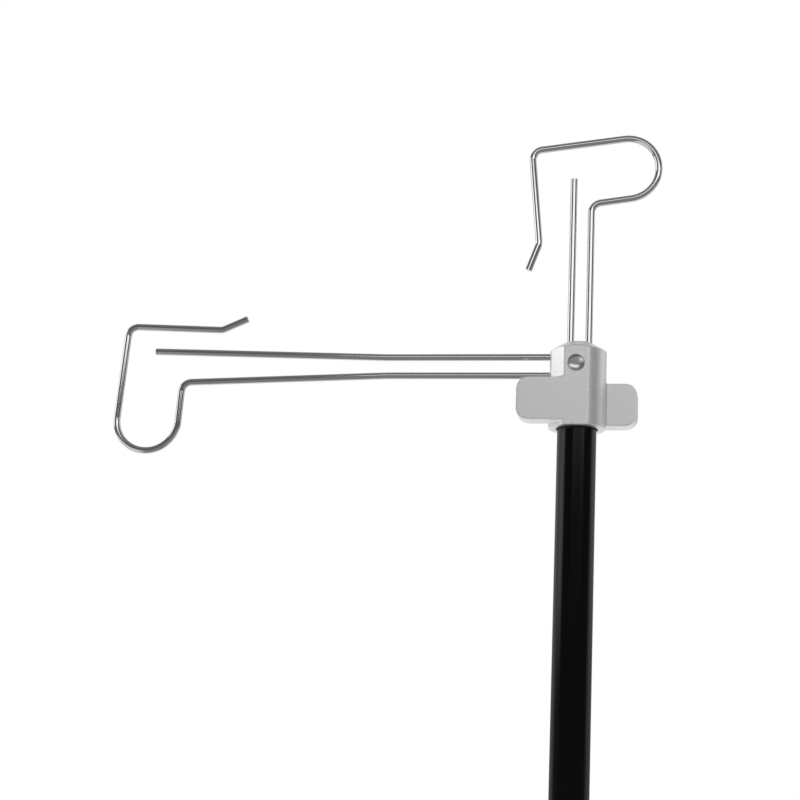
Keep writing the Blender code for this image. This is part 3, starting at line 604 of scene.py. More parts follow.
def operator(make):
    """Lists an operator that runs a function on the stand's settings."""
    def execute(self, context):
        make(context.scene.spool_stand)
        return {"FINISHED"}

    OPERATORS.append(type(f"SPOOLSTAND_OT_{make.__name__}", (bpy.types.Operator,), {
        "__doc__": make.__doc__, "bl_idname": f"spoolstand.{make.__name__}",
        "bl_label": make.__name__.replace("_", " ").capitalize(), "execute": execute}))
    return make


def middle(node, axis):
    """The middle of a CAD node along one axis."""
    low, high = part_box(node)
    return (low[axis] + high[axis]) / 2


# ------------------------------------------------------------------------- head
WING_STEPS = 12             # faces round a wing's corner
SLOT_STEPS = 10             # faces round a quarter of a slot's end
SLOT_AIR = 0.0005           # a slot is wider than its wire by this
HOLE_EDGE = 0.0002          # broken edge of the drilled hole
KEEPER_LEVEL = 0.0210       # keeper screw above the head's underside
KEEPER_END = 0.0105         # inner end of its hole, from the pole's axis
CAST_SHARP = 28.0           # degrees from which an edge of the head is sharp
IN_BORE = 1                 # place of the machined finish on the head


def head_body(head):
    """The round body, with one flat in front and one between front and left."""
    bm = bmesh.new()
    bmesh.ops.create_cone(bm, cap_ends=True, segments=DISC_STEPS, radius1=head.radius,
                          radius2=head.radius, depth=head.height)
    bmesh.ops.translate(bm, verts=bm.verts, vec=UP * (head.underside + head.height / 2))
    for angle, flat in ((0.0, head.front_flat), (-math.pi / 4, head.side_flat)):
        outward = Vector((math.sin(angle), -math.cos(angle), 0.0))
        cut = bmesh.ops.bisect_plane(bm, geom=bm.verts[:] + bm.edges[:] + bm.faces[:],
                                     plane_co=outward * flat, plane_no=outward,
                                     clear_outer=True)
        rim = [item for item in cut["geom_cut"] if isinstance(item, bmesh.types.BMEdge)]
        bmesh.ops.contextual_create(bm, geom=rim)
    return bm


def head_cone(head):
    """What the body is cut to: a flat top and a cone round it."""
    wide = 2 * head.radius
    fall = (wide - head.top_radius) * math.tan(head.top_slope)
    bm = lathe([(0.0, head.height), (head.top_radius, head.height),
                (wide, head.height - fall), (wide, -wide), (0.0, -wide)], DISC_STEPS)
    bmesh.ops.translate(bm, verts=bm.verts, vec=UP * head.underside)
    return bm


def wing(head, side):
    """A finger wing: flush with the flat front on the left, mirrored on the right."""
    reach = head.wing_span / 2
    bm = block((reach, head.wing_thickness, head.wing_height),
               (side * reach / 2, side * (head.front_flat - head.wing_thickness / 2),
                head.underside + head.wing_bottom + head.wing_height / 2))
    tip = [edge for edge in edges_along(bm, Y)
           if abs(edge.verts[0].co.x - side * reach) < SAME_PLACE]
    bevel(bm, tip, head.wing_corner, WING_STEPS)
    return bm


def round_slot(size, centre, axis, width):
    """A cutter for a slot with round ends that runs along an axis."""
    bm = block(size, centre)
    bevel(bm, edges_along(bm, axis), ROUND_END * width, SLOT_STEPS)
    return bm


def drilled_hole(head):
    """A cutter for the hole in the front, with its broken edge and drill point."""
    radius = head.hole_diameter / 2
    mouth = radius + HOLE_EDGE
    point = head.hole_depth + radius / math.tan(head.drill_point / 2)
    bm = lathe([(0.0, CUT), (mouth, CUT), (mouth, 0.0), (radius, -HOLE_EDGE),
                (radius, -head.hole_depth), (0.0, -point)], BORE_STEPS)
    return aimed(bm, FRONT, (0, -head.front_flat, head.underside + head.hole_level))


@operator
def make_head(stand):
    """Make the cast head with its wings, cone, slots and drilled holes"""
    head, arms, pole, screws = stand.head, stand.arms, stand.pole, stand.screws
    level = head.underside
    shaped = Shaped("head", head_body(head), [finish_of("cast"), finish_of("bore")])
    shaped.carve("INTERSECT", head_cone(head))
    shaped.add(wing(head, -1))
    shaped.add(wing(head, 1))
    shaped.soften(head.grain, head.edge_passes)

    bush_room = pole.upper / 2 + pole.bush_wall + 2 * pole.air
    tube_room = pole.upper / 2 + 2 * pole.air
    socket = lathe([(0.0, head.socket_depth), (tube_room, head.socket_depth),
                    (tube_room, head.bush_depth), (bush_room, head.bush_depth),
                    (bush_room, -CUT), (0.0, -CUT)], BORE_STEPS)
    bmesh.ops.translate(socket, verts=socket.verts, vec=UP * level)
    shaped.cut(socket, IN_BORE)

    slot = arms.wire + SLOT_AIR
    deep = arms.side_in_head + SLOT_AIR / 2
    legs = level + arms.side_level
    shaped.cut(round_slot((deep + CUT, slot, SIDE_FORM["spacing"] + slot),
                          ((deep - CUT) / 2 - head.radius, arms.side_plane, legs),
                          X, slot), IN_BORE)
    floor, mouth = head.top_slot_depth, head.height + CUT
    shaped.cut(round_slot((TOP_FORM["spacing"] + slot, slot, mouth - floor),
                          (arms.top_centre, arms.top_plane, level + (mouth + floor) / 2),
                          Z, slot), IN_BORE)
    shaped.cut(drilled_hole(head), IN_BORE)

    hole = screws.set_thread + 2 * pole.air
    back = head.radius + CUT
    keeper = level + KEEPER_LEVEL
    shaped.cut(rod(hole, (0, back, keeper), (0, KEEPER_END, keeper)), IN_BORE)
    x, z = middle("top_arm_screw", X), middle("top_arm_screw", Z)
    shaped.cut(rod(hole, (x, back, z), (x, arms.top_plane, z)), IN_BORE)
    x, y = middle("side_arm_screw", X), arms.side_plane
    shaped.cut(rod(hole, (x, y, level + head.height),
                   (x, y, legs + SIDE_FORM["spacing"] / 2)), IN_BORE)
    piece("head_shell", shaped.done(), ("cast", "bore"), "head",
          ["head_casting"], sharp=CAST_SHARP)


# ------------------------------------------------------------------------- arms
WIRE_ARC = math.radians(4.0)    # bend from point to point of the wire's arcs
WIRE_EDGE = 0.0004          # rounding of the wire's cut ends
WIRE_EDGE_STEPS = 3
WIRE_RESOLUTION = 6         # bevel resolution of the wire's round section

# A form is flat: metres along the two legs, from the hairpin in the head, and
# across them. The legs are spacing apart. From bend_at on they spread: the
# straight one rises by rise at its end, straight, and the other one drops by
# drop at hook_at, where the hook starts. What follows is counted from there: the
# U goes down to depth between near and far, up to outer, back along the bar to
# bar, and ends at tip.
SIDE_FORM = dict(straight=0.2534, spacing=0.0108, bend_at=0.114, rise=0.0038,
                 hook_at=0.2361, drop=0.0041, depth=0.0409, near=0.0018, far=0.0396,
                 outer=(0.0352, 0.0341), bar=(-0.0223, 0.0318), tip=(-0.0373, 0.0384))
TOP_FORM = dict(straight=0.2515, spacing=0.0104, bend_at=0.114, rise=0.0,
                hook_at=0.2361, drop=0.0, depth=0.0385, near=0.0050, far=0.0420,
                outer=(0.0335, 0.0354), bar=(-0.0237, 0.0299), tip=(-0.0397, 0.0357))


def arm_path(form, arms):
    """Centre line of an arm as flat (along, across) points."""
    half = form["spacing"] / 2
    hook = -half - form["drop"]
    trough = ROUND_END * (form["far"] - form["near"])
    hairpin = ROUND_END * form["spacing"]
    radius = arms.wire / 2

    def from_hook(place, bend):
        return (form["hook_at"] + place[0], hook + place[1], bend)

    corners = [
        (form["straight"], half + form["rise"], 0.0),
        (form["bend_at"], half, arms.spring_bend),
        (radius, half, hairpin),
        (radius, -half, hairpin),
        (form["bend_at"], -half, arms.spring_bend),
        from_hook((0.0, 0.0), arms.hook_bend),
        from_hook((form["near"], -form["depth"]), trough),
        from_hook((form["far"], -form["depth"]), trough),
        from_hook(form["outer"], arms.hook_bend),
        from_hook(form["bar"], arms.tip_bend),
        from_hook(form["tip"], 0.0),
    ]
    return rounded_path(corners, WIRE_ARC)


def wire_mesh(name, points, radius):
    """A round wire along points, its cut ends a little broken."""
    curve = bpy.data.curves.new(name, "CURVE")
    curve.dimensions = "3D"
    curve.bevel_depth = radius
    curve.bevel_resolution = WIRE_RESOLUTION
    curve.use_fill_caps = True
    spline = curve.splines.new("POLY")
    spline.points.add(len(points) - 1)
    for knot, point in zip(spline.points, points):
        knot.co = (*point, 1.0)
    thing = bpy.data.objects.new(name, curve)
    bpy.context.scene.collection.objects.link(thing)
    graph = bpy.context.evaluated_depsgraph_get()
    mesh = bpy.data.meshes.new_from_object(thing.evaluated_get(graph))
    bpy.data.objects.remove(thing, do_unlink=True)
    bpy.data.curves.remove(curve)
    bm = bmesh.new()
    bm.from_mesh(mesh)
    bpy.data.meshes.remove(mesh)
    bmesh.ops.remove_doubles(bm, verts=bm.verts, dist=WELD)
    rims = set()
    for face in bm.faces:
        if len(face.verts) > 4:
            rims.update(face.edges)
    bevel(bm, list(rims), WIRE_EDGE, WIRE_EDGE_STEPS)
    bmesh.ops.recalc_face_normals(bm, faces=bm.faces)
    return bm


@operator
def make_wire_arms(stand):
    """Make the two bent wire arms with their hooks"""
    head, arms = stand.head, stand.arms
    side_end = arms.side_in_head - head.radius
    side = [Vector((side_end - point.x, arms.side_plane,
                    head.underside + arms.side_level + point.y))
            for point in arm_path(SIDE_FORM, arms)]
    top = [Vector((arms.top_centre - point.y, arms.top_plane,
                   head.underside - arms.top_rest + point.x))
           for point in arm_path(TOP_FORM, arms)]
    piece("side_wire_arm", wire_mesh("side_wire_arm", side, arms.wire / 2), ("wire",),
          "side_wire", ["side_arm"])
    piece("top_wire_arm", wire_mesh("top_wire_arm", top, arms.wire / 2), ("wire",),
          "top_wire", ["top_arm"])


# ------------------------------------------------------------------------- pole
TUBE_EDGE = 0.0003          # rounding of the tubes' ends
BUSH_EDGE = 0.0002          # rounding of the bush's ends
BUSH_LIP = 0.0004           # rounding of its lower outer edge
BORE_EDGE = 0.0005          # broken edges of the collar's bore
COLLAR_GRAIN = 0.0005       # size of the faces of the collar
COLLAR_PASSES = 8           # smoothing passes that round its edges


@operator
def make_tubes(stand):
    """Make the two tubes of the pole and the bush under the head"""
    pole = stand.pole
    for name, node, body, size, wall in (
            ("upper_pole_tube", "upper_tube", "upper_pole", pole.upper, pole.upper_wall),
            ("lower_pole_tube", "lower_tube", "base", pole.lower, pole.lower_wall)):
        low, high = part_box(node)
        outer, inner = size / 2, size / 2 - wall
        profile = ring_profile([(outer, high.z, TUBE_EDGE), (outer, low.z, TUBE_EDGE),
                                (inner, low.z, TUBE_EDGE), (inner, high.z, TUBE_EDGE)])
        piece(name, lathe(profile, TUBE_STEPS), ("tube",), body, [node])
    low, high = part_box("swivel_bush")
    inner = pole.upper / 2 + pole.air
    outer = inner + pole.bush_wall
    profile = ring_profile([(outer, high.z, BUSH_EDGE), (outer, low.z, BUSH_LIP),
                            (inner, low.z, BUSH_EDGE), (inner, high.z, BUSH_EDGE)])
    piece("pole_bush", lathe(profile, BORE_STEPS), ("nylon",), "head",
          ["swivel_bush"])


@operator
def make_collar(stand):
    """Make the height collar with its boss"""
    pole, screws = stand.pole, stand.screws
    low, high = COLLAR_LOW.z, COLLAR_HIGH.z
    outer = pole.collar / 2
    level = clamp_level()
    shoulder = 2 * level - high
    body = lathe([(0.0, high), (outer, high), (outer, low), (0.0, low)], TUBE_STEPS)
    shaped = Shaped("collar", body, [finish_of("collar")])
    shaped.add(rod(pole.boss, (outer / 2, 0, level), (COLLAR_HIGH.x, 0, level),
                   SMALL_STEPS))
    shaped.soften(COLLAR_GRAIN, COLLAR_PASSES)
    over_tube = pole.lower / 2 + pole.air
    round_tube = pole.upper / 2 + 2 * pole.air
    edge = BORE_EDGE
    shaped.cut(lathe([(0.0, high + CUT), (round_tube + edge, high + CUT),
                      (round_tube + edge, high), (round_tube, high - edge),
                      (round_tube, shoulder), (over_tube, shoulder),
                      (over_tube, low + edge), (over_tube + edge, low),
                      (over_tube + edge, low - CUT), (0.0, low - CUT)], BORE_STEPS))
    stud_hole = pole.stud + 2 * pole.air
    shaped.cut(rod(stud_hole, (0, 0, level), (COLLAR_HIGH.x + CUT, 0, level)))
    place = middle("collar_set_screw", Z)
    hole = screws.set_thread + 2 * pole.air
    shaped.cut(rod(hole, (-outer - CUT, 0, place), (-over_tube + CUT, 0, place)))
    piece("collar_shell", shaped.done(), ("collar",), "base",
          ["height_collar"])


def clamp_level():
    """Height of the clamping screw."""
    return middle("clamp_shoe", Z)


def on_clamp(bm, x):
    """Lays a bmesh along the clamping screw, with its zero at x."""
    return aimed(bm, (1, 0, 0), (x, 0, clamp_level()))


# ------------------------------------------------------------------------- knob
LOBE_STEPS = 24             # points round one lobe
RIM_STEPS = 5               # faces across a rounded rim
BACK_RIM = 0.6              # rounding of the back rim over that of the outer rim
DISH_SLOPE = 0.001          # width of the dish's sloping edge
DISH_CROWN = 0.7            # depth at the dish's middle over its depth at the edge
DISH_ROUND = 0.004          # rounding between them
HUB_IN_GRIP = 0.004         # how far the hub reaches into the grip
HUB_EDGE = 0.0008           # rounding of the hub's end
THREAD_DEPTH = 0.61         # depth of the thread over its pitch
THREAD_FLAT = 1 / 8         # width of its crest and root over its pitch
THREAD_STEPS = 32           # faces round one turn
THREAD_WELD = 0.00006       # joins the root of one turn to the next
CORE_OVERLAP = 0.0001       # the core is wider than the roots by this
THREAD_SHARP = 50.0         # degrees from which an edge of the thread is sharp


@operator
def make_knob(stand):
    """Make the lobed clamping knob and its threaded stud"""
    pole = stand.pole
    level = clamp_level()
    shaped = Shaped("knob", knob_body(pole), [finish_of("knob")])
    shaped.add(knob_hub(pole))
    shaped.cut(knob_dish(pole))
    shaped.cut(rod(pole.stud + 2 * pole.air, (KNOB_LOW.x - CUT, 0, level),
                   (STUD_HIGH.x + pole.air, 0, level)))
    piece("knob_shell", shaped.done(), ("knob",), "knob", ["height_knob"])
    piece("threaded_stud", threaded_stud(pole), ("oxide",), "knob",
          ["knob_stud"], sharp=THREAD_SHARP)


def knob_body(pole):
    """The lobed grip with rounded rims."""
    face = KNOB_LOW.x + pole.knob_hub_length
    depth = KNOB_HIGH.x - face
    bm = bmesh.new()
    bmesh.ops.create_circle(bm, cap_ends=True, segments=pole.knob_lobes * LOBE_STEPS,
                            radius=pole.knob / 2)
    for vert in bm.verts:
        angle = math.atan2(vert.co.y, vert.co.x)
        dip = (1 + math.cos(pole.knob_lobes * angle)) / 2
        vert.co *= 1.0 - pole.knob_scallop * dip * dip * 2 / pole.knob
    grown = bmesh.ops.extrude_face_region(bm, geom=list(bm.faces))
    outer = [item for item in grown["geom"] if isinstance(item, bmesh.types.BMVert)]
    bmesh.ops.translate(bm, vec=UP * depth, verts=outer)
    bmesh.ops.recalc_face_normals(bm, faces=bm.faces)
    for height, rim in ((depth, pole.knob_rim), (0.0, pole.knob_rim * BACK_RIM)):
        edges = [edge for edge in bm.edges
                 if all(abs(vert.co.z - height) < SAME_PLACE for vert in edge.verts)]
        bevel(bm, edges, rim, RIM_STEPS)
    return on_clamp(bm, face)


def knob_dish(pole):
    """The shallow dish that is turned out of the grip's outer face."""
    wide, deep, slope = pole.knob_dish / 2, pole.knob_dish_depth, DISH_SLOPE
    profile = rounded_path([(0.0, -deep * DISH_CROWN, 0.0),
                            (wide - 2 * slope, -deep, DISH_ROUND),
                            (wide - slope, -deep, slope / 2), (wide, 0.0, 0.0)])
    bm = lathe([*profile, (wide, CUT), (0.0, CUT)], BORE_STEPS)
    return on_clamp(bm, KNOB_HIGH.x)


def knob_hub(pole):
    """The round hub between the grip and the collar."""
    radius = pole.knob_hub / 2
    inside = pole.knob_hub_length + HUB_IN_GRIP
    profile = rounded_path([(0.0, inside, 0.0), (radius, inside, 0.0),
                            (radius, 0.0, HUB_EDGE), (0.0, 0.0, 0.0)])
    bm = lathe(profile, SMALL_STEPS)
    return on_clamp(bm, KNOB_LOW.x)


def threaded_stud(pole):
    """A rod with a helical thread, made by a spin that climbs."""
    radius = pole.stud / 2
    pitch = pole.stud_pitch
    root = radius - THREAD_DEPTH * pitch
    long = STUD_HIGH.x - STUD_LOW.x
    turns = int(long / pitch) - 1
    flat = pitch * THREAD_FLAT
    profile = [(root, 0.0), (root, flat), (radius, pitch / 2 - flat / 2),
               (radius, pitch / 2 + flat / 2), (root, pitch - flat)]
    bm = bmesh.new()
    row = [bm.verts.new((across, 0.0, along)) for across, along in profile]
    edges = [bm.edges.new(pair) for pair in zip(row, row[1:])]
    bmesh.ops.spin(bm, geom=row + edges, cent=(0, 0, 0), axis=(0, 0, 1),
                   dvec=(0, 0, pitch / THREAD_STEPS), angle=2 * math.pi * turns,
                   steps=THREAD_STEPS * turns, use_merge=False)
    bmesh.ops.remove_doubles(bm, verts=bm.verts, dist=THREAD_WELD)
    core = rod(2 * root + CORE_OVERLAP, (0, 0, 0), (0, 0, long))
    whole = joined([bm, core])
    bmesh.ops.recalc_face_normals(whole, faces=whole.faces)
    return on_clamp(whole, STUD_LOW.x)


# ------------------------------------------------------------------------- base
PLATE_ARC = math.radians(8.0)   # bend from point to point of the plate's edge
PLATE_FOOT = 0.0008         # rounding of the plate's lower edge
FLANGE_EDGE = 0.0012        # rounding of the flange's upper edges
FLANGE_FOOT = 0.0002        # and of its lower ones
FLANGE_BORE = 0.0005        # and of its bore
PAD_TOP = 0.0003            # rounding of the pad's upper edge
PAD_FOOT = 0.0006           # and of its lower edge


@operator
def make_base(stand):
    """Make the round base plate, its rubber pad and the pole's flange"""
    base, pole, screws = stand.base, stand.pole, stand.screws
    radius = base.plate / 2
    low, high = PLATE_LOW.z, PLATE_HIGH.z
    plate = rounded_path([(0.0, high, 0.0), (radius, high, base.plate_edge),
                          (radius, low, PLATE_FOOT), (0.0, low, 0.0)], PLATE_ARC)
    piece("base_disc", lathe(plate, DISC_STEPS), ("powder",), "base",
          ["base_plate"])
    piece("base_rubber", lathe(pad_profile(base), DISC_STEPS), ("rubber",), "base",
          ["base_pad"])

    foot, top = FLANGE_LOW.z, FLANGE_HIGH.z
    bore = pole.lower / 2 + pole.air
    boss = bore + base.boss_wall
    outer = (FLANGE_HIGH.x - FLANGE_LOW.x) / 2
    shelf = foot + base.flange_thickness
    profile = ring_profile([
        (boss, top, FLANGE_EDGE), (boss, shelf, base.fillet), (outer, shelf, FLANGE_EDGE),
        (outer, foot, FLANGE_FOOT), (bore, foot, FLANGE_FOOT), (bore, top, FLANGE_BORE)])
    shaped = Shaped("flange", lathe(profile, FLANGE_STEPS), [finish_of("powder")])
    level = middle("flange_set_screw", Z)
    shaped.cut(rod(screws.set_thread + 2 * pole.air,
                   (0, boss + CUT, level), (0, bore - CUT, level)))
    piece("flange_shell", shaped.done(), ("powder",), "base",
          ["pole_flange"])


def pad_profile(base):
    """The rubber disc, with rings pressed into its underside."""
    radius = base.plate / 2 - base.pad_inset
    top = base.pad_thickness
    across = radius - base.rib_pitch / 2
    profile = rounded_path([(0.0, top, 0.0), (radius, top, PAD_TOP),
                            (radius, 0.0, PAD_FOOT), (across, 0.0, 0.0)])
    wide, slope = base.rib_pitch / 4, base.rib_depth / 2
    while across > 2 * base.rib_pitch:
        profile += [Vector((across, 0.0)), Vector((across - slope, base.rib_depth)),
                    Vector((across - wide + slope, base.rib_depth)),
                    Vector((across - wide, 0.0))]
        across -= base.rib_pitch
    return profile + [Vector((0.0, 0.0))]


# ----------------------------------------------------------------------- screws
CAP_LENGTH = 0.0125         # cap screws under their heads
CAP_KEY = 0.004             # across the flats of their sockets
CAP_EDGE = 0.0006           # rounding of the head's upper edge
CAP_SEAT = 0.0002           # and of its lower edge
CAP_TIP = 0.0005            # rounding of the screw's end
KNURL_DEPTH = 0.00012       # every second line of the head is pressed in by this
KNURL_MARGIN = 0.0005       # plain edge above and below the knurl
SET_EDGE = 0.0004           # rounding of a set screw's outer end
SET_SHOULDER = 0.0003       # and of its shoulder above the tip
SET_TIP_EDGE = 0.0002       # and of its tip
SET_KEY_DEPTH = 0.0022      # depth of its socket
SET_KEY_SHARE = 0.45        # and the most of a short screw's length


def hexagon(across, depth):
    """A cutter for a hexagon socket, opening towards +Z at zero."""
    return rod(across / math.cos(math.pi / 6), (0, 0, -depth), (0, 0, CUT), 6)


def cap_screw(screws):
    """A socket head cap screw, its seat at zero, with a knurled head."""
    head, high = screws.cap_head / 2, screws.cap_thread
    shank = screws.cap_thread / 2
    profile = rounded_path([(0.0, high, 0.0), (head, high, CAP_EDGE), (head, 0.0, CAP_SEAT),
                            (shank, 0.0, 0.0), (shank, -CAP_LENGTH, CAP_TIP),
                            (0.0, -CAP_LENGTH, 0.0)])
    bm = lathe(profile, SMALL_STEPS)
    for vert in bm.verts:
        flat = Vector((vert.co.x, vert.co.y, 0.0))
        on_side = flat.length > head - SAME_PLACE
        if on_side and KNURL_MARGIN < vert.co.z < high - KNURL_MARGIN:
            step = round(math.atan2(vert.co.y, vert.co.x) / (2 * math.pi / SMALL_STEPS))
            if step % 2:
                vert.co -= flat.normalized() * KNURL_DEPTH
    shaped = Shaped("cap", bm, [finish_of("oxide")])
    shaped.cut(hexagon(CAP_KEY, high / 2))
    return shaped.done()


def set_screw(screws, long, key_depth):
    """A headless screw that runs from zero down -Z."""
    body, tip = screws.set_thread / 2, screws.set_tip / 2
    neck = screws.set_tip_length - long
    profile = rounded_path([
        (0.0, 0.0, 0.0), (body, 0.0, SET_EDGE), (body, neck, SET_SHOULDER), (tip, neck, 0.0),
        (tip, -long, SET_TIP_EDGE), (0.0, -long, 0.0)])
    shaped = Shaped("set", lathe(profile, ROD_STEPS), [finish_of("oxide")])
    shaped.cut(hexagon(screws.set_key, key_depth))
    return shaped.done()


@operator
def make_screws(stand):
    """Make the cap screws of the flange and all the set screws"""
    screws = stand.screws
    for number in (1, 2, 3):
        node = f"flange_screw_{number}"
        mesh = cap_screw(screws)
        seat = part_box(node)[1].z - screws.cap_thread
        mesh.transform(Matrix.Translation((middle(node, X), middle(node, Y), seat)))
        piece(f"cap_screw_{number}", mesh, ("oxide",), "base", [node])
    for node, body, outward in (
            ("flange_set_screw", "base", (0, 1, 0)), ("collar_set_screw", "base", (-1, 0, 0)),
            ("head_keeper_screw", "head", (0, 1, 0)), ("top_arm_screw", "head", (0, 1, 0)),
            ("side_arm_screw", "head", (0, 0, 1))):
        low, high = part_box(node)
        outward = Vector(outward)
        long = abs((high - low).dot(outward))
        centre = (low + high) / 2
        mesh = set_screw(screws, long, min(SET_KEY_DEPTH, long * SET_KEY_SHARE))
        turned = outward.to_track_quat("Z", "Y").to_matrix().to_4x4()
        mesh.transform(Matrix.Translation(centre + outward * long / 2) @ turned)
        piece(f"{node}_piece", mesh, ("oxide",), body, [node])


@operator
def finish_inner_pieces(stand):
    """Give the pieces inside the pole and collar their finish"""
    for node in ("guide_bush", "clamp_shoe", "slider_bush", "thrust_washer"):
        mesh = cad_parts[node].data
        mesh.materials.clear()
        mesh.materials.append(finish_of("nylon"))


# ------------------------------------------------------------------------ stage
PICTURE = 800.0             # pixels along the photograph's side
SENSOR = 36.0               # width of the camera's sensor in millimetres
ROOM_LIGHT = 0.42           # even light of the room
ROOM_GLOSS = 0.14           # the room's side walls, as gloss shows them
FLOOR_GLOSS = 0.18          # what its floor adds to that
CEILING_GLOSS = 0.12        # what its ceiling adds
DIM_OPPOSITE = 0.60         # how much darker the middle of the far wall is
FLOOR_GAP = 0.0002          # floor under the pad
FADE_START, FADE_END = 0.12, 0.48   # where the floor fades, over its side
LAMPS = (                   # name, place, aim, width, height, watts, seen in gloss
    ("left_box", (-1.7, -0.2, 1.07), (0.0, 0.0, 0.6), 1.0, 0.9, 5.3, True),
    ("front_box", (0.54, -1.6, 1.19), (0.2, 0.0, 0.6), 2.2, 0.48, 5.4, True),
    ("top_box", (0.0, 0.1, 2.2), (0.0, 0.0, 0.45), 1.4, 1.4, 16.0, False),
)


def white_backdrop(scene):
    """White where the camera looks, and a soft studio for gloss and light."""
    world = bpy.data.worlds.new("studio")
    scene.world = world
    sky = Tree(world)
    sky.tree.nodes.clear()
    path = sky.node("ShaderNodeLightPath")
    camera = Value(sky, path.socket.node.outputs["Is Camera Ray"])
    glossy = Value(sky, path.socket.node.outputs["Is Glossy Ray"])
    clear = Value(sky, path.socket.node.outputs["Is Transmission Ray"])
    way = sky.node("ShaderNodeTexCoord", output="Generated")
    parts = sky.node("ShaderNodeSeparateXYZ", {}, {0: way})
    across = Value(sky, parts.socket.node.outputs["X"])
    ahead = Value(sky, parts.socket.node.outputs["Y"])
    height = Value(sky, parts.socket.node.outputs["Z"])
    # The far wall is white, duller at eye level and in its middle, and ends overhead.
    behind = ahead.ramp(0.05, 0.36) * (0.55 + (height * height).ramp(0.0, 0.02) * 0.45)
    opposite = ahead.ramp(0.50, 0.85) * (1.0 - (0.0 - height).ramp(0.0, 0.12))
    behind = behind * (1.0 - opposite * DIM_OPPOSITE)
    steep = height.ramp(0.80, 0.98)
    # The rest is grey, but for a white card at the lower left.
    below = (0.0 - height).ramp(-0.05, 0.25)
    card = (0.0 - across).ramp(0.20, 0.50) * (0.0 - height).ramp(0.08, 0.22)
    level = ROOM_GLOSS + below * FLOOR_GLOSS + height.ramp(0.40, 0.80) * CEILING_GLOSS
    level = level + behind * (1.0 - steep) * (1.0 - level)
    level = level.at_least(card)
    shown = camera.at_least(clear)
    gloss = glossy * (1.0 - shown)
    strength = shown + gloss * level + (1.0 - shown) * (1.0 - gloss) * ROOM_LIGHT
    sky.node("ShaderNodeOutputWorld", {}, {
        "Surface": sky.node("ShaderNodeBackground", {},
                            {"Color": (1.0, 1.0, 1.0, 1.0), "Strength": strength})})


def soft_lamp(name, place, aim, width, height, watts, gloss):
    """A soft box that looks at a point."""
    lamp = bpy.data.lights.new(name, "AREA")
    lamp.shape = "RECTANGLE"
    lamp.size = width
    lamp.size_y = height
    lamp.energy = watts
    thing = bpy.data.objects.new(name, lamp)
    thing.location = place
    thing.rotation_euler = (Vector(aim) - Vector(place)).to_track_quat("-Z", "Y").to_euler()
    thing.visible_camera = False
    thing.visible_glossy = gloss
    bpy.context.scene.collection.objects.link(thing)


def pale_floor(stage, colours):
    """A plain floor that shows from above and keeps the stand's shadow."""
    bm = bmesh.new()
    bmesh.ops.create_grid(bm, x_segments=1, y_segments=1, size=stage.floor / 2)
    bmesh.ops.translate(bm, vec=(0, 0, -FLOOR_GAP), verts=bm.verts)
    floor = bpy.data.objects.new("floor", mesh_of("floor", bm))
    material = bpy.data.materials.new("pale_floor")
    paint = Tree(material)
    shader = paint.tree.nodes["Principled BSDF"]
    paint.feed(shader.inputs["Base Color"], (*colours.floor, 1.0))
    paint.feed(shader.inputs["Roughness"], 0.8)
    under = paint.node("ShaderNodeNewGeometry", output="Backfacing")
    place = paint.node("ShaderNodeTexCoord", output="Object")
    away = paint.node("ShaderNodeVectorMath", {"operation": "LENGTH"}, {0: place}, "Value")
    fade = away.ramp(stage.floor * FADE_START, stage.floor * FADE_END)
    gloss = paint.node("ShaderNodeLightPath", output="Is Glossy Ray")
    unseen = under.at_least(fade).at_least(gloss)
    clear = paint.node("ShaderNodeBsdfTransparent")
    mixed = paint.node("ShaderNodeMixShader", {},
                       {0: unseen, 1: Value(paint, shader.outputs[0]), 2: clear})
    paint.feed(paint.tree.nodes["Material Output"].inputs["Surface"], mixed)
    floor.data.materials.append(material)
    bpy.context.scene.collection.objects.link(floor)


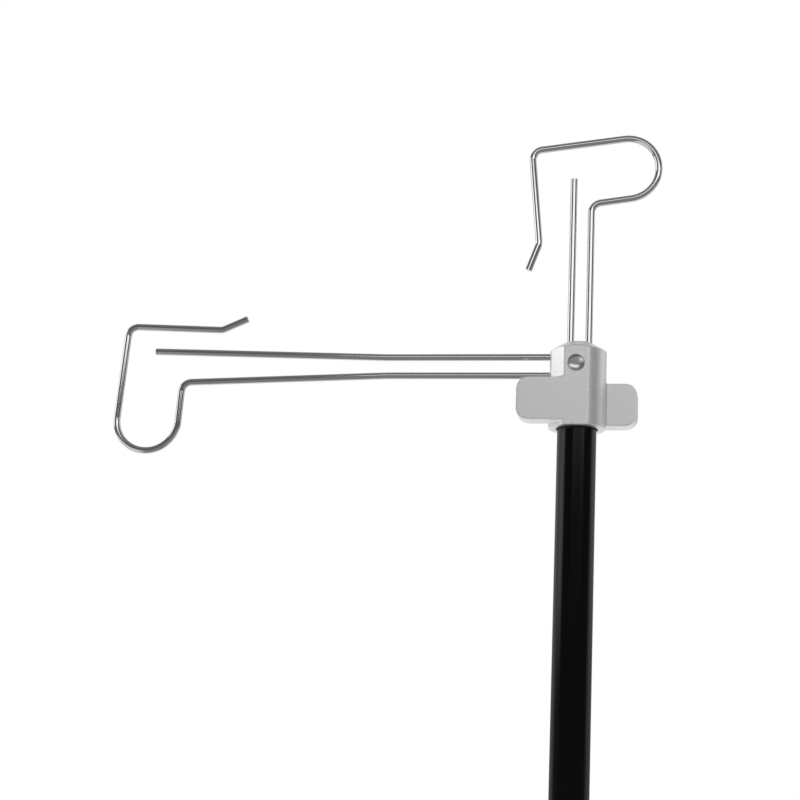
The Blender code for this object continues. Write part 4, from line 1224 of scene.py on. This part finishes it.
def photo_camera(scene, stage):
    """The camera at the photograph's station and angle."""
    lens = bpy.data.cameras.new("camera")
    lens.sensor_width = SENSOR
    lens.lens = stage.focal_pixels / PICTURE * SENSOR
    lens.clip_start, lens.clip_end = 0.01, 50.0
    turned, tipped, rolled = stage.azimuth, stage.pitch, stage.roll
    ahead = Vector((-math.sin(turned) * math.cos(tipped),
                    math.cos(turned) * math.cos(tipped), math.sin(tipped)))
    right = Vector((math.cos(turned), math.sin(turned), 0.0))
    above = right.cross(ahead)
    across = math.cos(rolled) * right + math.sin(rolled) * above
    upward = math.cos(rolled) * above - math.sin(rolled) * right
    pose = Matrix((across, upward, -ahead)).transposed().to_4x4()
    camera = bpy.data.objects.new("camera", lens)
    camera.matrix_world = Matrix.Translation(stage.station) @ pose
    scene.collection.objects.link(camera)
    scene.camera = camera


@operator
def set_stage(stand):
    """Set up the camera, the soft lamps, the backdrop and the floor"""
    scene = bpy.context.scene
    scene.view_settings.view_transform = "Standard"
    photo_camera(scene, stand.stage)
    white_backdrop(scene)
    pale_floor(stand.stage, stand.colours)
    for lamp in LAMPS:
        soft_lamp(*lamp)


# ---------------------------------------------------------------------- sidebar
GROUPS = (HeadSizes, ArmSizes, PoleSizes, BaseSizes, ScrewSizes, FinishColours, StageSizes)


class SPOOLSTAND_PT_sidebar(bpy.types.Panel):
    """Buttons and sizes of the spool stand"""

    bl_idname = "SPOOLSTAND_PT_sidebar"
    bl_label = "Spool stand"
    bl_space_type = "VIEW_3D"
    bl_region_type = "UI"
    bl_category = "Spool stand"

    def draw(self, context):
        for button in OPERATORS:
            self.layout.operator(button.bl_idname)
        stand = context.scene.spool_stand
        for name in ("head", "arms", "pole", "base", "screws", "colours", "stage"):
            box = self.layout.box()
            box.label(text=name.capitalize())
            group = getattr(stand, name)
            for key in group.bl_rna.properties.keys():
                if key not in ("rna_type", "name"):
                    box.prop(group, key)


CLASSES = (*GROUPS, StandSettings, *OPERATORS, SPOOLSTAND_PT_sidebar)


def register():
    for one in CLASSES:
        bpy.utils.register_class(one)
    bpy.types.Scene.spool_stand = PointerProperty(type=StandSettings)


def unregister():
    del bpy.types.Scene.spool_stand
    for one in reversed(CLASSES):
        bpy.utils.unregister_class(one)


def main():
    register()
    bpy.ops.spoolstand.make_head()
    bpy.ops.spoolstand.make_wire_arms()
    bpy.ops.spoolstand.make_tubes()
    bpy.ops.spoolstand.make_collar()
    bpy.ops.spoolstand.make_knob()
    bpy.ops.spoolstand.make_base()
    bpy.ops.spoolstand.make_screws()
    bpy.ops.spoolstand.finish_inner_pieces()
    bpy.ops.spoolstand.set_stage()


if __name__ == "__main__":
    main()
